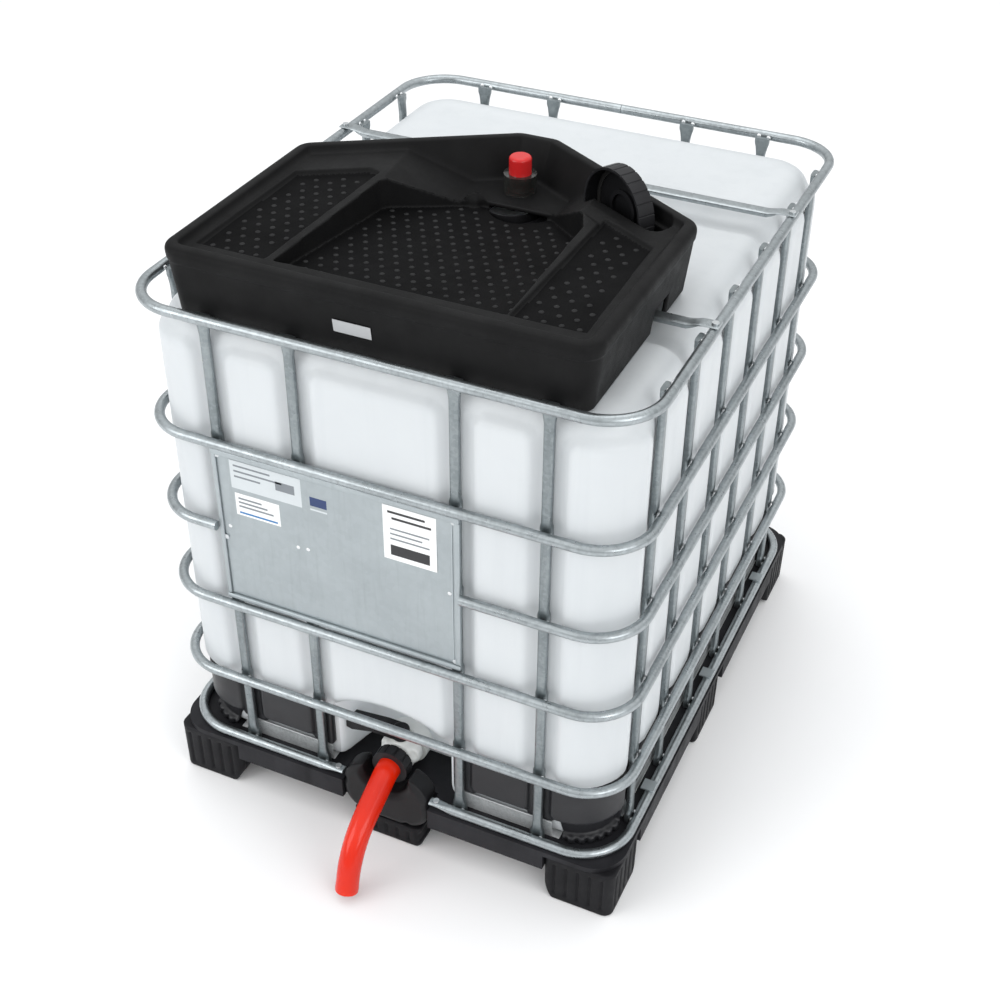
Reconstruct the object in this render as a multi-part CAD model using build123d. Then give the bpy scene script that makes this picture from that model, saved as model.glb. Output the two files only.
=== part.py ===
from build123d import *
import os
from math import sin, cos, tan, radians, degrees, atan2, hypot

# ---------------------------------------------------------------------------
# Intermediate bulk container, 1000 litre class, on a nine-foot plastic pallet,
# with a caged blow-moulded bottle, a bottom outlet valve and a bolt-on filling
# funnel.  Millimetres.  Origin: centre of the pallet's footprint on the floor,
# +Z up, outlet valve on the -Y side, +X to the right when facing the valve.
# ---------------------------------------------------------------------------

# pallet
PALLET_W = 1000.0          # X
PALLET_D = 1200.0          # Y
DECK_TOP = 130.0
DECK_T = 12.0
SKIRT_BOTTOM = 80.0
SKIRT_T = 24.0
FOOT = 150.0

# cage
RING_X = 488.0             # tube centreline half width
RING_Y = 586.0             # tube centreline half depth
RING_R = 102.0             # corner radius of the centreline
TUBE_R = 10.0
TUBE_WALL = 1.0
RING_Z = [1148.0, 891.0, 699.0, 510.0, 310.0, 140.0]
UP_W = 24.0                # upright, flattened tube: width along the wall
UP_T = 15.0                # upright, thickness across the wall
UP_FRONT = [-325.0, -156.0, 156.0, 325.0]
UP_SIDE = [-445.0, -276.0, -90.0, 90.0, 276.0, 445.0]
UP_Z0, UP_Z1 = 131.5, 1151.0
GAP = 0.02                 # hairline between a tube and the tube it is welded on

# bottle
WALL = 2.5
BOT_Z0 = 133.0
STEP_Z = 284.0             # the bottle steps in below this, inside the base collar
PILLOW_TOP = 1086.0
BOT_TOP = 1120.0
PLINTH = (457.0, 555.0)
CORE = (461.0, 559.0)
PILLOW = (474.0, 572.0)
BOT_R = 105.0
NECK_R, NECK_RI, NECK_Z = 75.0, 70.0, 1150.0

# cross bars over the top
BAR_Y = [-245.0, 222.0]
BAR_W, BAR_H = 28.0, 12.0
BAR_Z = 1151.0

# outlet valve, all on one axis along Y
VZ = 184.0
OUT_RI = 25.0
DISC_Y = -518.0

# filling funnel
RIM_Z, SKIRT_Z = 1265.0, 1133.0
RIM = [(-404, -576), (404, -576), (404, -94), (40, 134), (-40, 134), (-404, -94)]
DRAFT = 7.7
SHELF_Z = 1240.0
PLAT_Z = 1190.0
IND = (3.0, 30.0)          # indicator axis
# screw lid parked on edge in the funnel's slot
LID_R, LID_T = 82.0, 34.0
LID_C = (238.0, -63.0)
SLOT_C = (254.0, -72.6)     # slot centre; it runs on past the lid to the right
SLOT_HALF = 104.0
LID_ANG = -31.0
SLOT_FLOOR = 1156.0

os.makedirs("parts", exist_ok=True)
NODES = {}


def cut_up(shape, cells):
    # the same material as touching simple solids, one or more for each cell
    out = []
    for c in cells:
        r = shape & c
        if r is None:
            continue
        for q in (r.solids() if hasattr(r, "solids") else [t for k in r for t in k.solids()]):
            if q.volume > 2.0:
                out.append(q)
    return out


def wedges(n, r, z0, z1, cx=0.0, cy=0.0, turn=0.0):
    out = []
    for k in range(n):
        a0, a1 = radians(360.0 * k / n + turn), radians(360.0 * (k + 1) / n + turn)
        f = make_face(Polyline(Vector(cx, cy, 0), Vector(cx + r * cos(a0), cy + r * sin(a0), 0), Vector(cx + r * cos(a1), cy + r * sin(a1), 0), close=True))
        out.append(prism(f, z0, z1))
    return out


def put(name, *solids):
    flat = []
    for s in solids:
        if isinstance(s, (list, tuple)):
            flat += list(s)
        else:
            flat.append(s)
    out = []
    for s in flat:
        out += list(s.solids())
    shape = out[0] if len(out) == 1 else Compound(children=out)
    shape.label = name
    NODES[name] = shape
    export_step(shape, f"parts/{name}.step")


def box(x0, x1, y0, y1, z0, z1):
    return Pos((x0 + x1) / 2, (y0 + y1) / 2, (z0 + z1) / 2) * Box(x1 - x0, y1 - y0, z1 - z0)


def cyl_z(x, y, r, z0, z1):
    return Pos(x, y, (z0 + z1) / 2) * Cylinder(r, z1 - z0)


def cyl_y(x, z, r, y0, y1):
    return Pos(x, (y0 + y1) / 2, z) * Rot(90, 0, 0) * Cylinder(r, y1 - y0)


def ring_y(x, z, r0, r1, y0, y1):
    return cyl_y(x, z, r1, y0, y1) - cyl_y(x, z, r0, y0 - 1, y1 + 1)


def ring_z(x, y, r0, r1, z0, z1):
    return cyl_z(x, y, r1, z0, z1) - cyl_z(x, y, r0, z0 - 1, z1 + 1)


def prism(sketch, z0, z1):
    return extrude(Pos(0, 0, z0) * sketch, amount=z1 - z0)


# --------------------------------------------------------------- pallet -----
hx, hy = PALLET_W / 2, PALLET_D / 2
CUP_X = 97.0
VZ_CUP = 184.0             # the cup's trough follows the outlet's axis
slab_z0 = DECK_TOP - DECK_T
slab_all = prism(RectangleRounded(PALLET_W, PALLET_D, 70), slab_z0, DECK_TOP)
# the front edge is notched for the valve cup, so the deck is three slabs
deck = cut_up(slab_all, [box(-600, 600, -548.5, 700, 100, 140),
                         box(-600, -CUP_X - 0.5, -700, -548.5, 100, 140), box(CUP_X + 0.5, 600, -700, -548.5, 100, 140)])
for sx in (-1, 1):
    for a, b in ((-hy + FOOT, -FOOT / 2), (FOOT / 2, hy - FOOT)):
        x0, x1 = sorted((sx * hx, sx * (hx - SKIRT_T)))
        deck.append(box(x0, x1, a, b, SKIRT_BOTTOM, slab_z0))
for sy in (-1, 1):
    for a, b in ((-hx + FOOT, -FOOT / 2), (FOOT / 2, hx - FOOT)):
        y0, y1 = sorted((sy * hy, sy * (hy - SKIRT_T)))
        if sy < 0:
            a, b = (a, -CUP_X - 0.5) if b < 0 else (CUP_X + 0.5, b)
        deck.append(box(a, b, y0, y1, SKIRT_BOTTOM, slab_z0))
# long ribs under the deck tie the rows of feet together
for x in (-285.0, -212.0, -139.0, 139.0, 212.0, 285.0):
    deck.append(box(x - 3, x + 3, -hy + SKIRT_T, hy - SKIRT_T, 92.0, slab_z0))
put("pallet_deck", deck)


def foot(cx, cy, wx, wy, out_x=0, out_y=0, top=DECK_TOP - DECK_T):
    f = box(cx - wx / 2, cx + wx / 2, cy - wy / 2, cy + wy / 2, 0, top)
    f = fillet(f.edges().filter_by(Axis.Z), 14)
    # moulded cup: open under the deck, closed by its own sole
    f -= box(cx - wx / 2 + 9, cx + wx / 2 - 9, cy - wy / 2 + 9, cy + wy / 2 - 9, 7, top + 1)
    # vertical ribs on the outer faces
    for k in (-1, 0, 1):
        if out_y:
            yy = cy + out_y * wy / 2
            f -= box(cx + k * wx * 0.24 - 5, cx + k * wx * 0.24 + 5, yy - 5, yy + 5, 6, top - 14)
        if out_x:
            xx = cx + out_x * wx / 2
            f -= box(xx - 5, xx + 5, cy + k * wy * 0.24 - 5, cy + k * wy * 0.24 + 5, 6, top - 14)
    return f


cx_, cy_ = hx - FOOT / 2 - 1, hy - FOOT / 2 - 1
put("pallet_corner_feet", [foot(sx * cx_, sy * cy_, FOOT - 2, FOOT - 2, sx, sy) for sx in (-1, 1) for sy in (-1, 1)])
put("pallet_side_feet", [foot(sx * cx_, 0, FOOT - 2, FOOT - 2, sx, 0) for sx in (-1, 1)])
# the front middle foot stands behind the valve cup, with a low toe under it
toe = box(-78, 78, -hy + 2, -543, 0, 54.5)
toe = fillet(toe.edges().filter_by(Axis.Z).group_by(Axis.Y)[0], 12)
put("pallet_front_foot", foot(0, -hy + 55 + 50, FOOT - 10, 96, 0, 0), toe)
put("pallet_rear_foot", foot(0, cy_, FOOT - 2, FOOT - 2, 0, 1))
put("pallet_centre_foot", foot(0, 0, FOOT, FOOT))

# cup that shields the valve, bolted into the front edge of the pallet
CUP_TOP = 190.0
cup = box(-CUP_X, CUP_X, -hy, -549, 55, CUP_TOP)
cup = fillet(cup.edges().filter_by(Axis.Y).group_by(Axis.Z)[0], 60)
trough = box(-50, 50, -hy - 1, -548, VZ_CUP, 200) + cyl_y(0, VZ_CUP, 50, -hy - 1, -548)
put("valve_cup", cup - trough)

# galvanised tray between pallet and bottle: a flat sheet with an upturned rim
# along the straight sides, open in front of the valve
sheet = cut_up(prism(RectangleRounded(922, 1118, 90), DECK_TOP, DECK_TOP + 0.8),
               [box(-600, 600, -505, 700, 120, 140), box(-600, -140, -700, -505, 120, 140), box(140, 600, -700, -505, 120, 140)])
TRAY_Z = 173.0
for s in (-1, 1):
    x0, x1 = sorted((s * 457.7, s * 459.4))
    sheet.append(box(x0, x1, -440, 440, DECK_TOP + 0.8, TRAY_Z))
    x0, x1 = sorted((s * 141, s * 350))
    sheet.append(box(x0, x1, -557.4, -555.7, DECK_TOP + 0.8, TRAY_Z))
sheet.append(box(-350, 350, 555.7, 557.4, DECK_TOP + 0.8, TRAY_Z))
put("base_sheet", sheet)


# ----------------------------------------------------------- base collar ----
def notched(half, r, notch_to, width):
    s = RectangleRounded(2 * half[0], 2 * half[1], r)
    dy = half[1] - notch_to[1]
    dx = half[0] - notch_to[0]
    for x in UP_FRONT:
        for sy in (-1, 1):
            s -= Pos(x, sy * (notch_to[1] + dy), 0) * Rectangle(width, 2 * dy)
    for y in UP_SIDE:
        for sx in (-1, 1):
            s -= Pos(sx * (notch_to[0] + dx), y, 0) * Rectangle(2 * dx, width)
    return s


band = prism(notched((469, 567), BOT_R + 7, (461.5, 559.5), 38), 180, 281)
band += prism(RectangleRounded(2 * 461.5, 2 * 559.5, BOT_R), DECK_TOP + 1.5, 281)
band -= prism(RectangleRounded(2 * 457.6, 2 * 555.6, BOT_R), 100, 300)
band -= box(-137, 137, -620, -500, 100, 300)
cut_x, cut_y = 380, 478
high = band & box(-700, 700, -700, 700, TRAY_Z + 3, 300)
put("collar_left", high & box(-520, -300, -cut_y, cut_y, 100, 300))
put("collar_right", high & box(300, 520, -cut_y, cut_y, 100, 300))
put("collar_rear", high & box(-cut_x, cut_x, 400, 620, 100, 300))
put("collar_front_left", high & box(-cut_x, -100, -620, -400, 100, 300))
put("collar_front_right", high & box(100, cut_x, -620, -400, 100, 300))
put("collar_corners", [band & box(*sorted((sx * cut_x, sx * 520)), *sorted((sy * cut_y, sy * 620)), 100, 300)
                       for sx in (-1, 1) for sy in (-1, 1)])

# ---------------------------------------------------------------- bottle ----


def bottle_form(off):
    lo = prism(RectangleRounded(2 * (PLINTH[0] - off), 2 * (PLINTH[1] - off), BOT_R - off), BOT_Z0 + off, STEP_Z + 20)
    mid = prism(notched((PILLOW[0] - off, PILLOW[1] - off), BOT_R + 12 - off, (CORE[0] - off, CORE[1] - off), 40 + 2 * off),
                STEP_Z + off, PILLOW_TOP - off)
    top = prism(RectangleRounded(2 * (CORE[0] - off), 2 * (CORE[1] - off), BOT_R - off), STEP_Z + 20, BOT_TOP - off)
    top = fillet(top.edges().group_by(Axis.Z)[-1], 34 - off)
    return lo + mid + top


def recess(off):
    # arched pocket in the front wall that the outlet valve sits in
    w = 132 + off
    z1, zt = 278.0, 346.0 + off
    arch = Polygon((-w, 100), (w, 100), (w, z1), (w * 0.80, z1 + (zt - z1) * 0.62), (w * 0.45, zt), (-w * 0.45, zt),
                   (-w * 0.80, z1 + (zt - z1) * 0.62), (-w, z1), align=None)
    body = extrude(Plane.XZ * arch, amount=600)          # towards -Y
    return body & box(-300, 300, -620, -455 + off, 90, 400)


bottle = bottle_form(0) - recess(0)
inner = bottle_form(WALL) - recess(WALL)
bottle = bottle - inner
bottle += ring_z(0, 0, NECK_RI, NECK_R, BOT_TOP - 1, NECK_Z)
bottle -= cyl_z(0, 0, NECK_RI, BOT_TOP - 20, NECK_Z + 1)
bottle += ring_y(0, VZ, OUT_RI + 1, 30, -485, -454)
bottle -= cyl_y(0, VZ, OUT_RI + 1, -486, -440)
W9 = 700.0
SZ = 1084.0
CZ = 138.0
cells = [box(-W9, W9, -450, W9, 100, CZ), box(-W9, -135, -W9, -450, 100, CZ), box(135, W9, -W9, -450, 100, CZ),
         box(-135, -132, -W9, -450, 100, 350), box(132, 135, -W9, -450, 100, 350), box(-132, 132, -455, -450, 100, 350)]
cells += [box(-W9, 0, -450, 450, CZ, SZ), box(0, W9, -450, 450, CZ, SZ), box(-360, 360, 450, W9, CZ, SZ),
          box(-W9, -360, 450, W9, CZ, SZ), box(360, W9, 450, W9, CZ, SZ), box(-W9, -360, -W9, -450, CZ, SZ), box(360, W9, -W9, -450, CZ, SZ),
          box(-360, 360, -W9, -450, 350, SZ), box(-360, -135, -W9, -450, CZ, 350), box(135, 360, -W9, -450, CZ, 350)]
roof_x = [-132, -105.6, -59.4, 59.4, 105.6, 132]
cells += [box(a, b, -W9, -455, CZ, 350) for a, b in zip(roof_x, roof_x[1:])]
cells += [box(-W9, -80, -W9, W9, SZ, 1200), box(80, W9, -W9, W9, SZ, 1200), box(-80, 80, -W9, -80, SZ, 1200), box(-80, 80, 80, W9, SZ, 1200)]
bottle_parts = cut_up(bottle, cells)
bottle_parts += cut_up(bottle & box(-80, 80, -80, 80, SZ, 1200), wedges(8, 200, SZ - 5, 1200))
put("bottle", bottle_parts)

# ------------------------------------------------------------------ cage ----


def tube_x(x0, x1, y, z):
    t = Pos((x0 + x1) / 2, y, z) * Rot(0, 90, 0) * (Cylinder(TUBE_R, x1 - x0) - Cylinder(TUBE_R - TUBE_WALL, x1 - x0 + 2))
    return t


def tube_y(y0, y1, x, z):
    return Pos(x, (y0 + y1) / 2, z) * Rot(90, 0, 0) * (Cylinder(TUBE_R, y1 - y0) - Cylinder(TUBE_R - TUBE_WALL, y1 - y0 + 2))


def elbow(sx, sy, z):
    ann = Circle(TUBE_R) - Circle(TUBE_R - TUBE_WALL)
    prof = Plane.XZ * (Pos(RING_R, 0, 0) * ann)
    e = revolve(prof, Axis.Z, revolution_arc=90)
    ang = {(1, 1): 0, (-1, 1): 90, (-1, -1): 180, (1, -1): 270}[(sx, sy)]
    return Pos(sx * (RING_X - RING_R), sy * (RING_Y - RING_R), z) * Rot(0, 0, ang) * e


def cage_ring(z, gaps=((-0.5, 0.5, 1),)):
    # gaps: (x0, x1, side) with side -1 the front run and +1 the rear run
    ex, ey = RING_X - RING_R, RING_Y - RING_R
    out = []
    for side in (-1, 1):
        cuts = sorted([g for g in gaps if g[2] == side])
        x = -ex
        for g in cuts:
            out.append(tube_x(x, g[0], side * RING_Y, z))
            x = g[1]
        out.append(tube_x(x, ex, side * RING_Y, z))
    for s in (-1, 1):
        out.append(tube_y(-ey, ey, s * RING_X, z))
    out += [elbow(sx, sy, z) for sx in (-1, 1) for sy in (-1, 1)]
    return out


put("cage_ring_top", cage_ring(RING_Z[0]))
put("cage_ring_upper", cage_ring(RING_Z[1]))
put("cage_ring_middle", cage_ring(RING_Z[2], gaps=((-338, 170, -1), (-0.5, 0.5, 1))))
put("cage_ring_lower", cage_ring(RING_Z[3]))
put("cage_ring_bottom", cage_ring(RING_Z[4]))
put("cage_ring_base", cage_ring(RING_Z[5], gaps=((-99, 99, -1), (-0.5, 0.5, 1))))


def upright(x, y, along_x):
    w, t = (UP_W, UP_T) if along_x else (UP_T, UP_W)
    r = UP_T / 2 - 0.6
    s = RectangleRounded(w, t, r) - RectangleRounded(w - 2, t - 2, r - 1)
    return Pos(x, y, 0) * prism(s, UP_Z0, UP_Z1)


uy = RING_Y - TUBE_R - UP_T / 2 - GAP
ux = RING_X - TUBE_R - UP_T / 2 - GAP
put("front_uprights", [upright(x, -uy, True) for x in UP_FRONT])
put("rear_uprights", [upright(x, uy, True) for x in UP_FRONT])
put("left_uprights", [upright(-ux, y, False) for y in UP_SIDE])
put("right_uprights", [upright(ux, y, False) for y in UP_SIDE])


def cross_bar(y):
    w = RectangleRounded(BAR_W, BAR_H, 4) - RectangleRounded(BAR_W - 3, BAR_H - 3, 2.5)
    b = extrude(Plane.YZ * w, amount=470, both=True)
    b = Pos(0, y, BAR_Z) * b
    zt = RING_Z[0] + TUBE_R + GAP
    for s in (-1, 1):
        x0, x1 = sorted((s * 470, s * 497))
        tab = box(x0, x1, y - 14, y + 14, zt, zt + 3)
        x2, x3 = sorted((s * 440, s * 472))
        tab += box(x2, x3, y - 14, y + 14, BAR_Z + BAR_H / 2 - 0.5, zt + 3)
        tab -= cyl_z(s * RING_X, y, 3.3, zt - 1, zt + 4)
        b += tab
    return b


put("cross_bar_front", cross_bar(BAR_Y[0]))
put("cross_bar_rear", cross_bar(BAR_Y[1]))
zt = RING_Z[0] + TUBE_R + GAP + 3
put("cross_bar_screws", [cyl_z(s * RING_X, y, 6.5, zt + 0.05, zt + 3.5) for y in BAR_Y for s in (-1, 1)])

# screws that clamp the base ring's flattened ends to the pallet
put("ring_end_screws", [cyl_z(s * 112, -RING_Y, 6, RING_Z[5] + TUBE_R + GAP, RING_Z[5] + TUBE_R + 4) for s in (-1, 1)])
# screws along the sides that hold the cage down on the deck
put("cage_claws", [box(*sorted((s * 470, s * 497)), y - 14, y + 14, RING_Z[5] + TUBE_R + GAP, RING_Z[5] + TUBE_R + 3)
                   for s in (-1, 1) for y in (-366, 0, 366)])

# ------------------------------------------------------------ label plate ---
PX0, PX1, PZ0, PZ1 = -336.0, 168.0, 523.0, 876.0
py = -RING_Y + TUBE_R - GAP
plate = box(PX0, PX1, py - 1.2, py, PZ0, PZ1)
plate += box(PX0, PX1, py - 9, py - 1.0, PZ1 - 1.5, PZ1)
plate += box(PX0, PX1, py - 9, py - 1.0, PZ0, PZ0 + 1.5)
plate += box(PX0, PX0 + 1.5, py - 6, py - 1.0, PZ0, PZ1)
plate += box(PX1 - 1.5, PX1, py - 6, py - 1.0, PZ0, PZ1)
SCREWS = [(-324, 673), (156, 862), (-324, 862), (156, 540)]
put("label_plate", plate)
pf = py - 1.2
put("label_plate_screws", [cyl_y(x, z, 5, pf - 3, pf - 0.02) for x, z in SCREWS])
LABELS = [(-300, -150, 795, 858), (-295, -200, 735, 785), (16, 122, 738, 858)]
put("label_stickers", [box(a, b, pf - 0.35, pf - 0.02, c, d) for a, b, c, d in LABELS])

# ------------------------------------------------------------------ valve ---
put("outlet_gasket", ring_y(0, VZ, OUT_RI + 1, 31, -486.8, -485.05))
body = cyl_y(0, VZ, 41, -494, -486.85) + cyl_y(0, VZ, 34, -546, -493) + cyl_y(0, VZ, 29.5, -556, -545)
body += cyl_z(0, DISC_Y, 15, VZ + 20, VZ + 39) + cyl_z(0, DISC_Y, 12, VZ - 42, VZ - 20)
body -= cyl_y(0, VZ, OUT_RI, -561, -480)
body -= cyl_z(0, DISC_Y, 5.06, VZ - 36, VZ + 60)
put("valve_body", body)
nut = ring_y(0, VZ, 41.06, 47, -495, -476) + ring_y(0, VZ, 35, 47, -498.5, -494.1) + ring_y(0, VZ, 30.6, 47, -476.2, -470)
put("valve_flange_nut", nut)

# rotor: disc on its stem, turned by the lever on top
stem = cyl_z(0, DISC_Y, 5.0, VZ - 35.5, VZ + 62)
put("valve_stem", stem)
disc = cyl_y(0, VZ, OUT_RI - 0.4, DISC_Y - 2.5, DISC_Y + 2.5) & (Pos(0, DISC_Y, VZ) * Sphere(OUT_RI - 0.3))
disc += cyl_z(0, DISC_Y, 7.5, VZ - 17, VZ + 17)
disc -= cyl_z(0, DISC_Y, 5.0, VZ - 60, VZ + 60)
put("valve_disc", disc)
LZ0 = VZ + 40.5
hub = cyl_z(0, DISC_Y, 18, LZ0, LZ0 + 24)
hub = fillet(hub.edges().group_by(Axis.Z)[-1], 5)
side = make_face(Polyline((-118, 217), (-106, 213.5), (-60, LZ0 + 1), (0, LZ0 + 1), (0, LZ0 + 21), (-36, LZ0 + 21), (-112, 237), (-118, 232), close=True))
arm = extrude(Plane(origin=(0, DISC_Y + 17, 0), x_dir=(1, 0, 0), z_dir=(0, -1, 0)) * side, amount=34)
lever = hub + arm
lever -= cyl_z(0, DISC_Y, 5.0, LZ0 - 1, VZ + 62)
put("valve_lever", cut_up(lever, [box(-200, -60, -700, -400, 150, 300), box(-60, -18.5, -700, -400, 150, 300), box(-18.5, 100, -700, -400, 150, 300)]))

# union nut and bent pouring spout
NUT_Y0, NUT_Y1 = -573.0, -546.5
un = cyl_y(0, VZ, 39, NUT_Y0, NUT_Y1) - cyl_y(0, VZ, 29.56, -568, NUT_Y1 + 1) - cyl_y(0, VZ, 25.4, NUT_Y0 - 1, -560)
for k in range(12):
    a = radians(30 * k + 15)
    un -= cyl_y(39.6 * cos(a), VZ + 39.6 * sin(a), 2.4, NUT_Y0 + 4, NUT_Y1 + 1)
put("union_nut", un)
put("spout_gasket", ring_y(0, VZ, 24.5, 29.0, -557.6, -556.05))
SP = [(0, -557.7, VZ), (0, -586, VZ), (0, -735, 118), (0, -765, 20)]
path = FilletPolyline(*SP, radius=[60, 75])
start = Plane(origin=SP[0], z_dir=(0, -1, 0))
tube_o = sweep(start * Circle(25), path=path)
tube_i = sweep(start * Circle(22), path=path)
fl = ring_y(0, VZ, 22, 29.2, -566.5, -557.7)
put("pouring_spout", (tube_o - tube_i) + fl)

# ----------------------------------------------------------------- funnel ---
rim = make_face(Polyline(*[Vector(x, y, 0) for x, y in RIM], close=True))
rim = fillet(rim.vertices(), 34)
outer = extrude(Pos(0, 0, RIM_Z) * rim, amount=-(RIM_Z - SKIRT_Z), taper=DRAFT)


def plan(off, r):
    pts = offset_poly(RIM, off)
    f = make_face(Polyline(*[Vector(x, y, 0) for x, y in pts], close=True))
    return fillet(f.vertices(), r)


def offset_poly(pts, d):
    # inward parallel offset of a convex counter-clockwise polygon
    n = len(pts)
    lines = []
    for i in range(n):
        (x0, y0), (x1, y1) = pts[i], pts[(i + 1) % n]
        L = hypot(x1 - x0, y1 - y0)
        nx, ny = -(y1 - y0) / L, (x1 - x0) / L
        lines.append((nx, ny, nx * x0 + ny * y0 + d))
    out = []
    for i in range(n):
        a, b, c = lines[i - 1]
        e, f, g = lines[i]
        det = a * f - b * e
        out.append(((c * f - b * g) / det, (a * g - c * e) / det))
    return out


def slab(pts, z0, z1):
    return prism(make_face(Polyline(*[Vector(x, y, 0) for x, y in pts], close=True)), z0, z1)


tray = outer - prism(plan(24, 22), 1250, 1300)                       # lip inside the rim
tray -= box(-354, -218, -530, -200, SHELF_Z, 1300)                   # left shelf
tray -= box(228, 354, -530, -200, SHELF_Z, 1300)                     # right shelf
# middle floor falls from the front to the drain
mid = Polygon((-530, 1226), (-2, 1177), (-2, 1300), (-530, 1300), align=None)
midsolid = Pos(-212, 0, 0) * extrude(Plane.YZ * mid, amount=212 + 222)
tray -= midsolid & slab([(-212, -530), (222, -530), (222, -190), (110, 0), (-110, 0), (-212, -190)], 1100, 1300)
# platform behind the drain that carries the indicator
tray -= slab([(-110, -3), (110, -3), (40, 98), (-40, 98)], PLAT_Z, 1300)
# underside
under = prism(plan(36, 16), SKIRT_Z - 1, 1169)
ca, sa = cos(radians(LID_ANG)), sin(radians(LID_ANG))


def slot_box(half_l, half_w, z0, z1):
    return Pos(SLOT_C[0], SLOT_C[1], (z0 + z1) / 2) * Rot(0, 0, LID_ANG) * Box(2 * half_l, 2 * half_w, z1 - z0)


under -= slot_box(SLOT_HALF + 7, LID_T / 2 + 10, 1149, 1200)
under += box(-346, -226, -522, -208, 1165, 1233)
under += box(236, 346, -522, -212, 1165, 1233)
under += slab([(-346, -190), (-222, -190), (-126, -6), (-98, 44), (-346, -105)], 1165, 1243)
fall = Polygon((-522, 1160), (-60, 1160), (-60, 1174), (-522, 1217), align=None)
under += Pos(-205, 0, 0) * extrude(Plane.YZ * fall, amount=205 + 215)
tray -= under
tray -= slot_box(SLOT_HALF, LID_T / 2 + 4, SLOT_FLOOR, 1300)
tray -= cyl_z(0, 0, 57, 1150, PLAT_Z - 6) & box(-80, 80, -80, 80, 1100, 1300)
tray -= cyl_z(IND[0], IND[1], 6, 1150, 1230)
# notches in the skirt over the front cross bar
for s in (-1, 1):
    x0, x1 = sorted((s * 340, s * 420))
    tray -= box(x0, x1, BAR_Y[0] - 33, BAR_Y[0] + 33, 1100, 1178)
cells = []
for ys, xs in (((-700, -530), (-700, -354, -212, 222, 354, 700)),
               ((-530, -278), (-700, -354, -218, -212, 222, 228, 354, 700)),
               ((-278, -212), (-700, -354)), ((-278, -212), (354, 700)),
               ((-212, -200), (-700, -354)), ((-212, -200), (354, 700)),
               ((-278, -200), (-354, -218, -212, 222, 228, 354)),
               ((-200, -57), (-700, -354, -212, -110, 110, 222, 354, 700)),
               ((-57, -3), (-700, -354, -110, -57, -30, 0, 30, 57, 110, 354, 700)),
               ((-3, 98), (-700, -110, -40, 40, 110, 700)),
               ((98, 700), (-700, 700))):
    cells += [box(a, b, ys[0], ys[1], 1100, 1300) for a, b in zip(xs, xs[1:])]
put("funnel_tray", cut_up(tray, cells))

BADGE = (-66, 5, 1178, 1202)
BZ = (BADGE[2] + BADGE[3]) / 2
by0 = -576 + (RIM_Z - BZ) * tan(radians(DRAFT))
put("funnel_badge", Pos((BADGE[0] + BADGE[1]) / 2, by0 - 0.55, BZ) * Rot(DRAFT, 0, 0) * Box(BADGE[1] - BADGE[0], 0.8, BADGE[3] - BADGE[2]))

neck = ring_z(0, 0, 53, 56.5, 1092, 1176) + ring_z(0, 0, 53, 74.5, 1152.2, 1157)
put("funnel_neck", cut_up(neck, wedges(12, 200, 1080, 1190)))
put("funnel_gasket", ring_z(0, 0, 57, 74.5, 1150.05, 1152.15))
cn = ring_z(0, 0, 75.4, 83, 1124, 1162) + ring_z(0, 0, 60, 83, 1157.4, 1162)
for k in range(16):
    a = radians(22.5 * k)
    cn += cyl_z(82 * cos(a), 82 * sin(a), 3.5, 1126, 1160)
put("funnel_collar_nut", cut_up(cn, wedges(8, 200, 1110, 1180, turn=11.25)))

ix, iy = IND
sl = ring_z(ix, iy, 28.5, 32, PLAT_Z + 0.02, 1227) + ring_z(ix, iy, 22.6, 32, 1224.5, 1227)
put("indicator_sleeve", sl)
cap = cyl_z(ix, iy, 21.8, PLAT_Z + 0.1, 1262)
cap = fillet(cap.edges().group_by(Axis.Z)[-1], 7)
cap += cyl_z(ix, iy, 26.5, PLAT_Z + 0.1, PLAT_Z + 4)
cap -= cyl_z(ix, iy, 19.2, PLAT_Z - 1, 1256)
cap += cyl_z(ix, iy, 8, 1236, 1257)
cap -= cyl_z(ix, iy, 4.0, 1200, 1250)
put("indicator_cap", cap)
put("indicator_rod", cyl_z(ix, iy, 4.0, 1046, 1250))
fb = cyl_z(ix, iy, 28, 1000, 1058)
fb = fillet(fb.edges().filter_by(GeomType.CIRCLE), 10)
put("indicator_float", fb - cyl_z(ix, iy, 4.0, 1046, 1070))

# parked screw lid, a shallow cap standing on edge with its open side to the drain
lz = SLOT_FLOOR + LID_R + 0.3
lid = Cylinder(LID_R, LID_T) - Pos(0, 0, -3) * Cylinder(LID_R - 5, LID_T - 3 + 0.01)
for k in range(24):
    a = radians(15 * k)
    lid -= Pos((LID_R + 0.6) * cos(a), (LID_R + 0.6) * sin(a), 0) * Cylinder(2.0, LID_T + 2)
lid += Pos(0, 0, LID_T / 2 - 6) * (Cylinder(36, 8) - Cylinder(28, 10))
place = Pos(LID_C[0], LID_C[1], lz) * Rot(0, 0, LID_ANG) * Rot(-90, 0, 0)
put("parked_lid", place * lid)
put("parked_lid_seal", place * (Pos(0, 0, LID_T / 2 - 6.05) * (Cylinder(LID_R - 6, 3) - Cylinder(LID_R - 14, 5))))

print(len(NODES), "nodes")
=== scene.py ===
import bpy, bmesh, math
import numpy as np
from mathutils import Matrix, Vector


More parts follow.
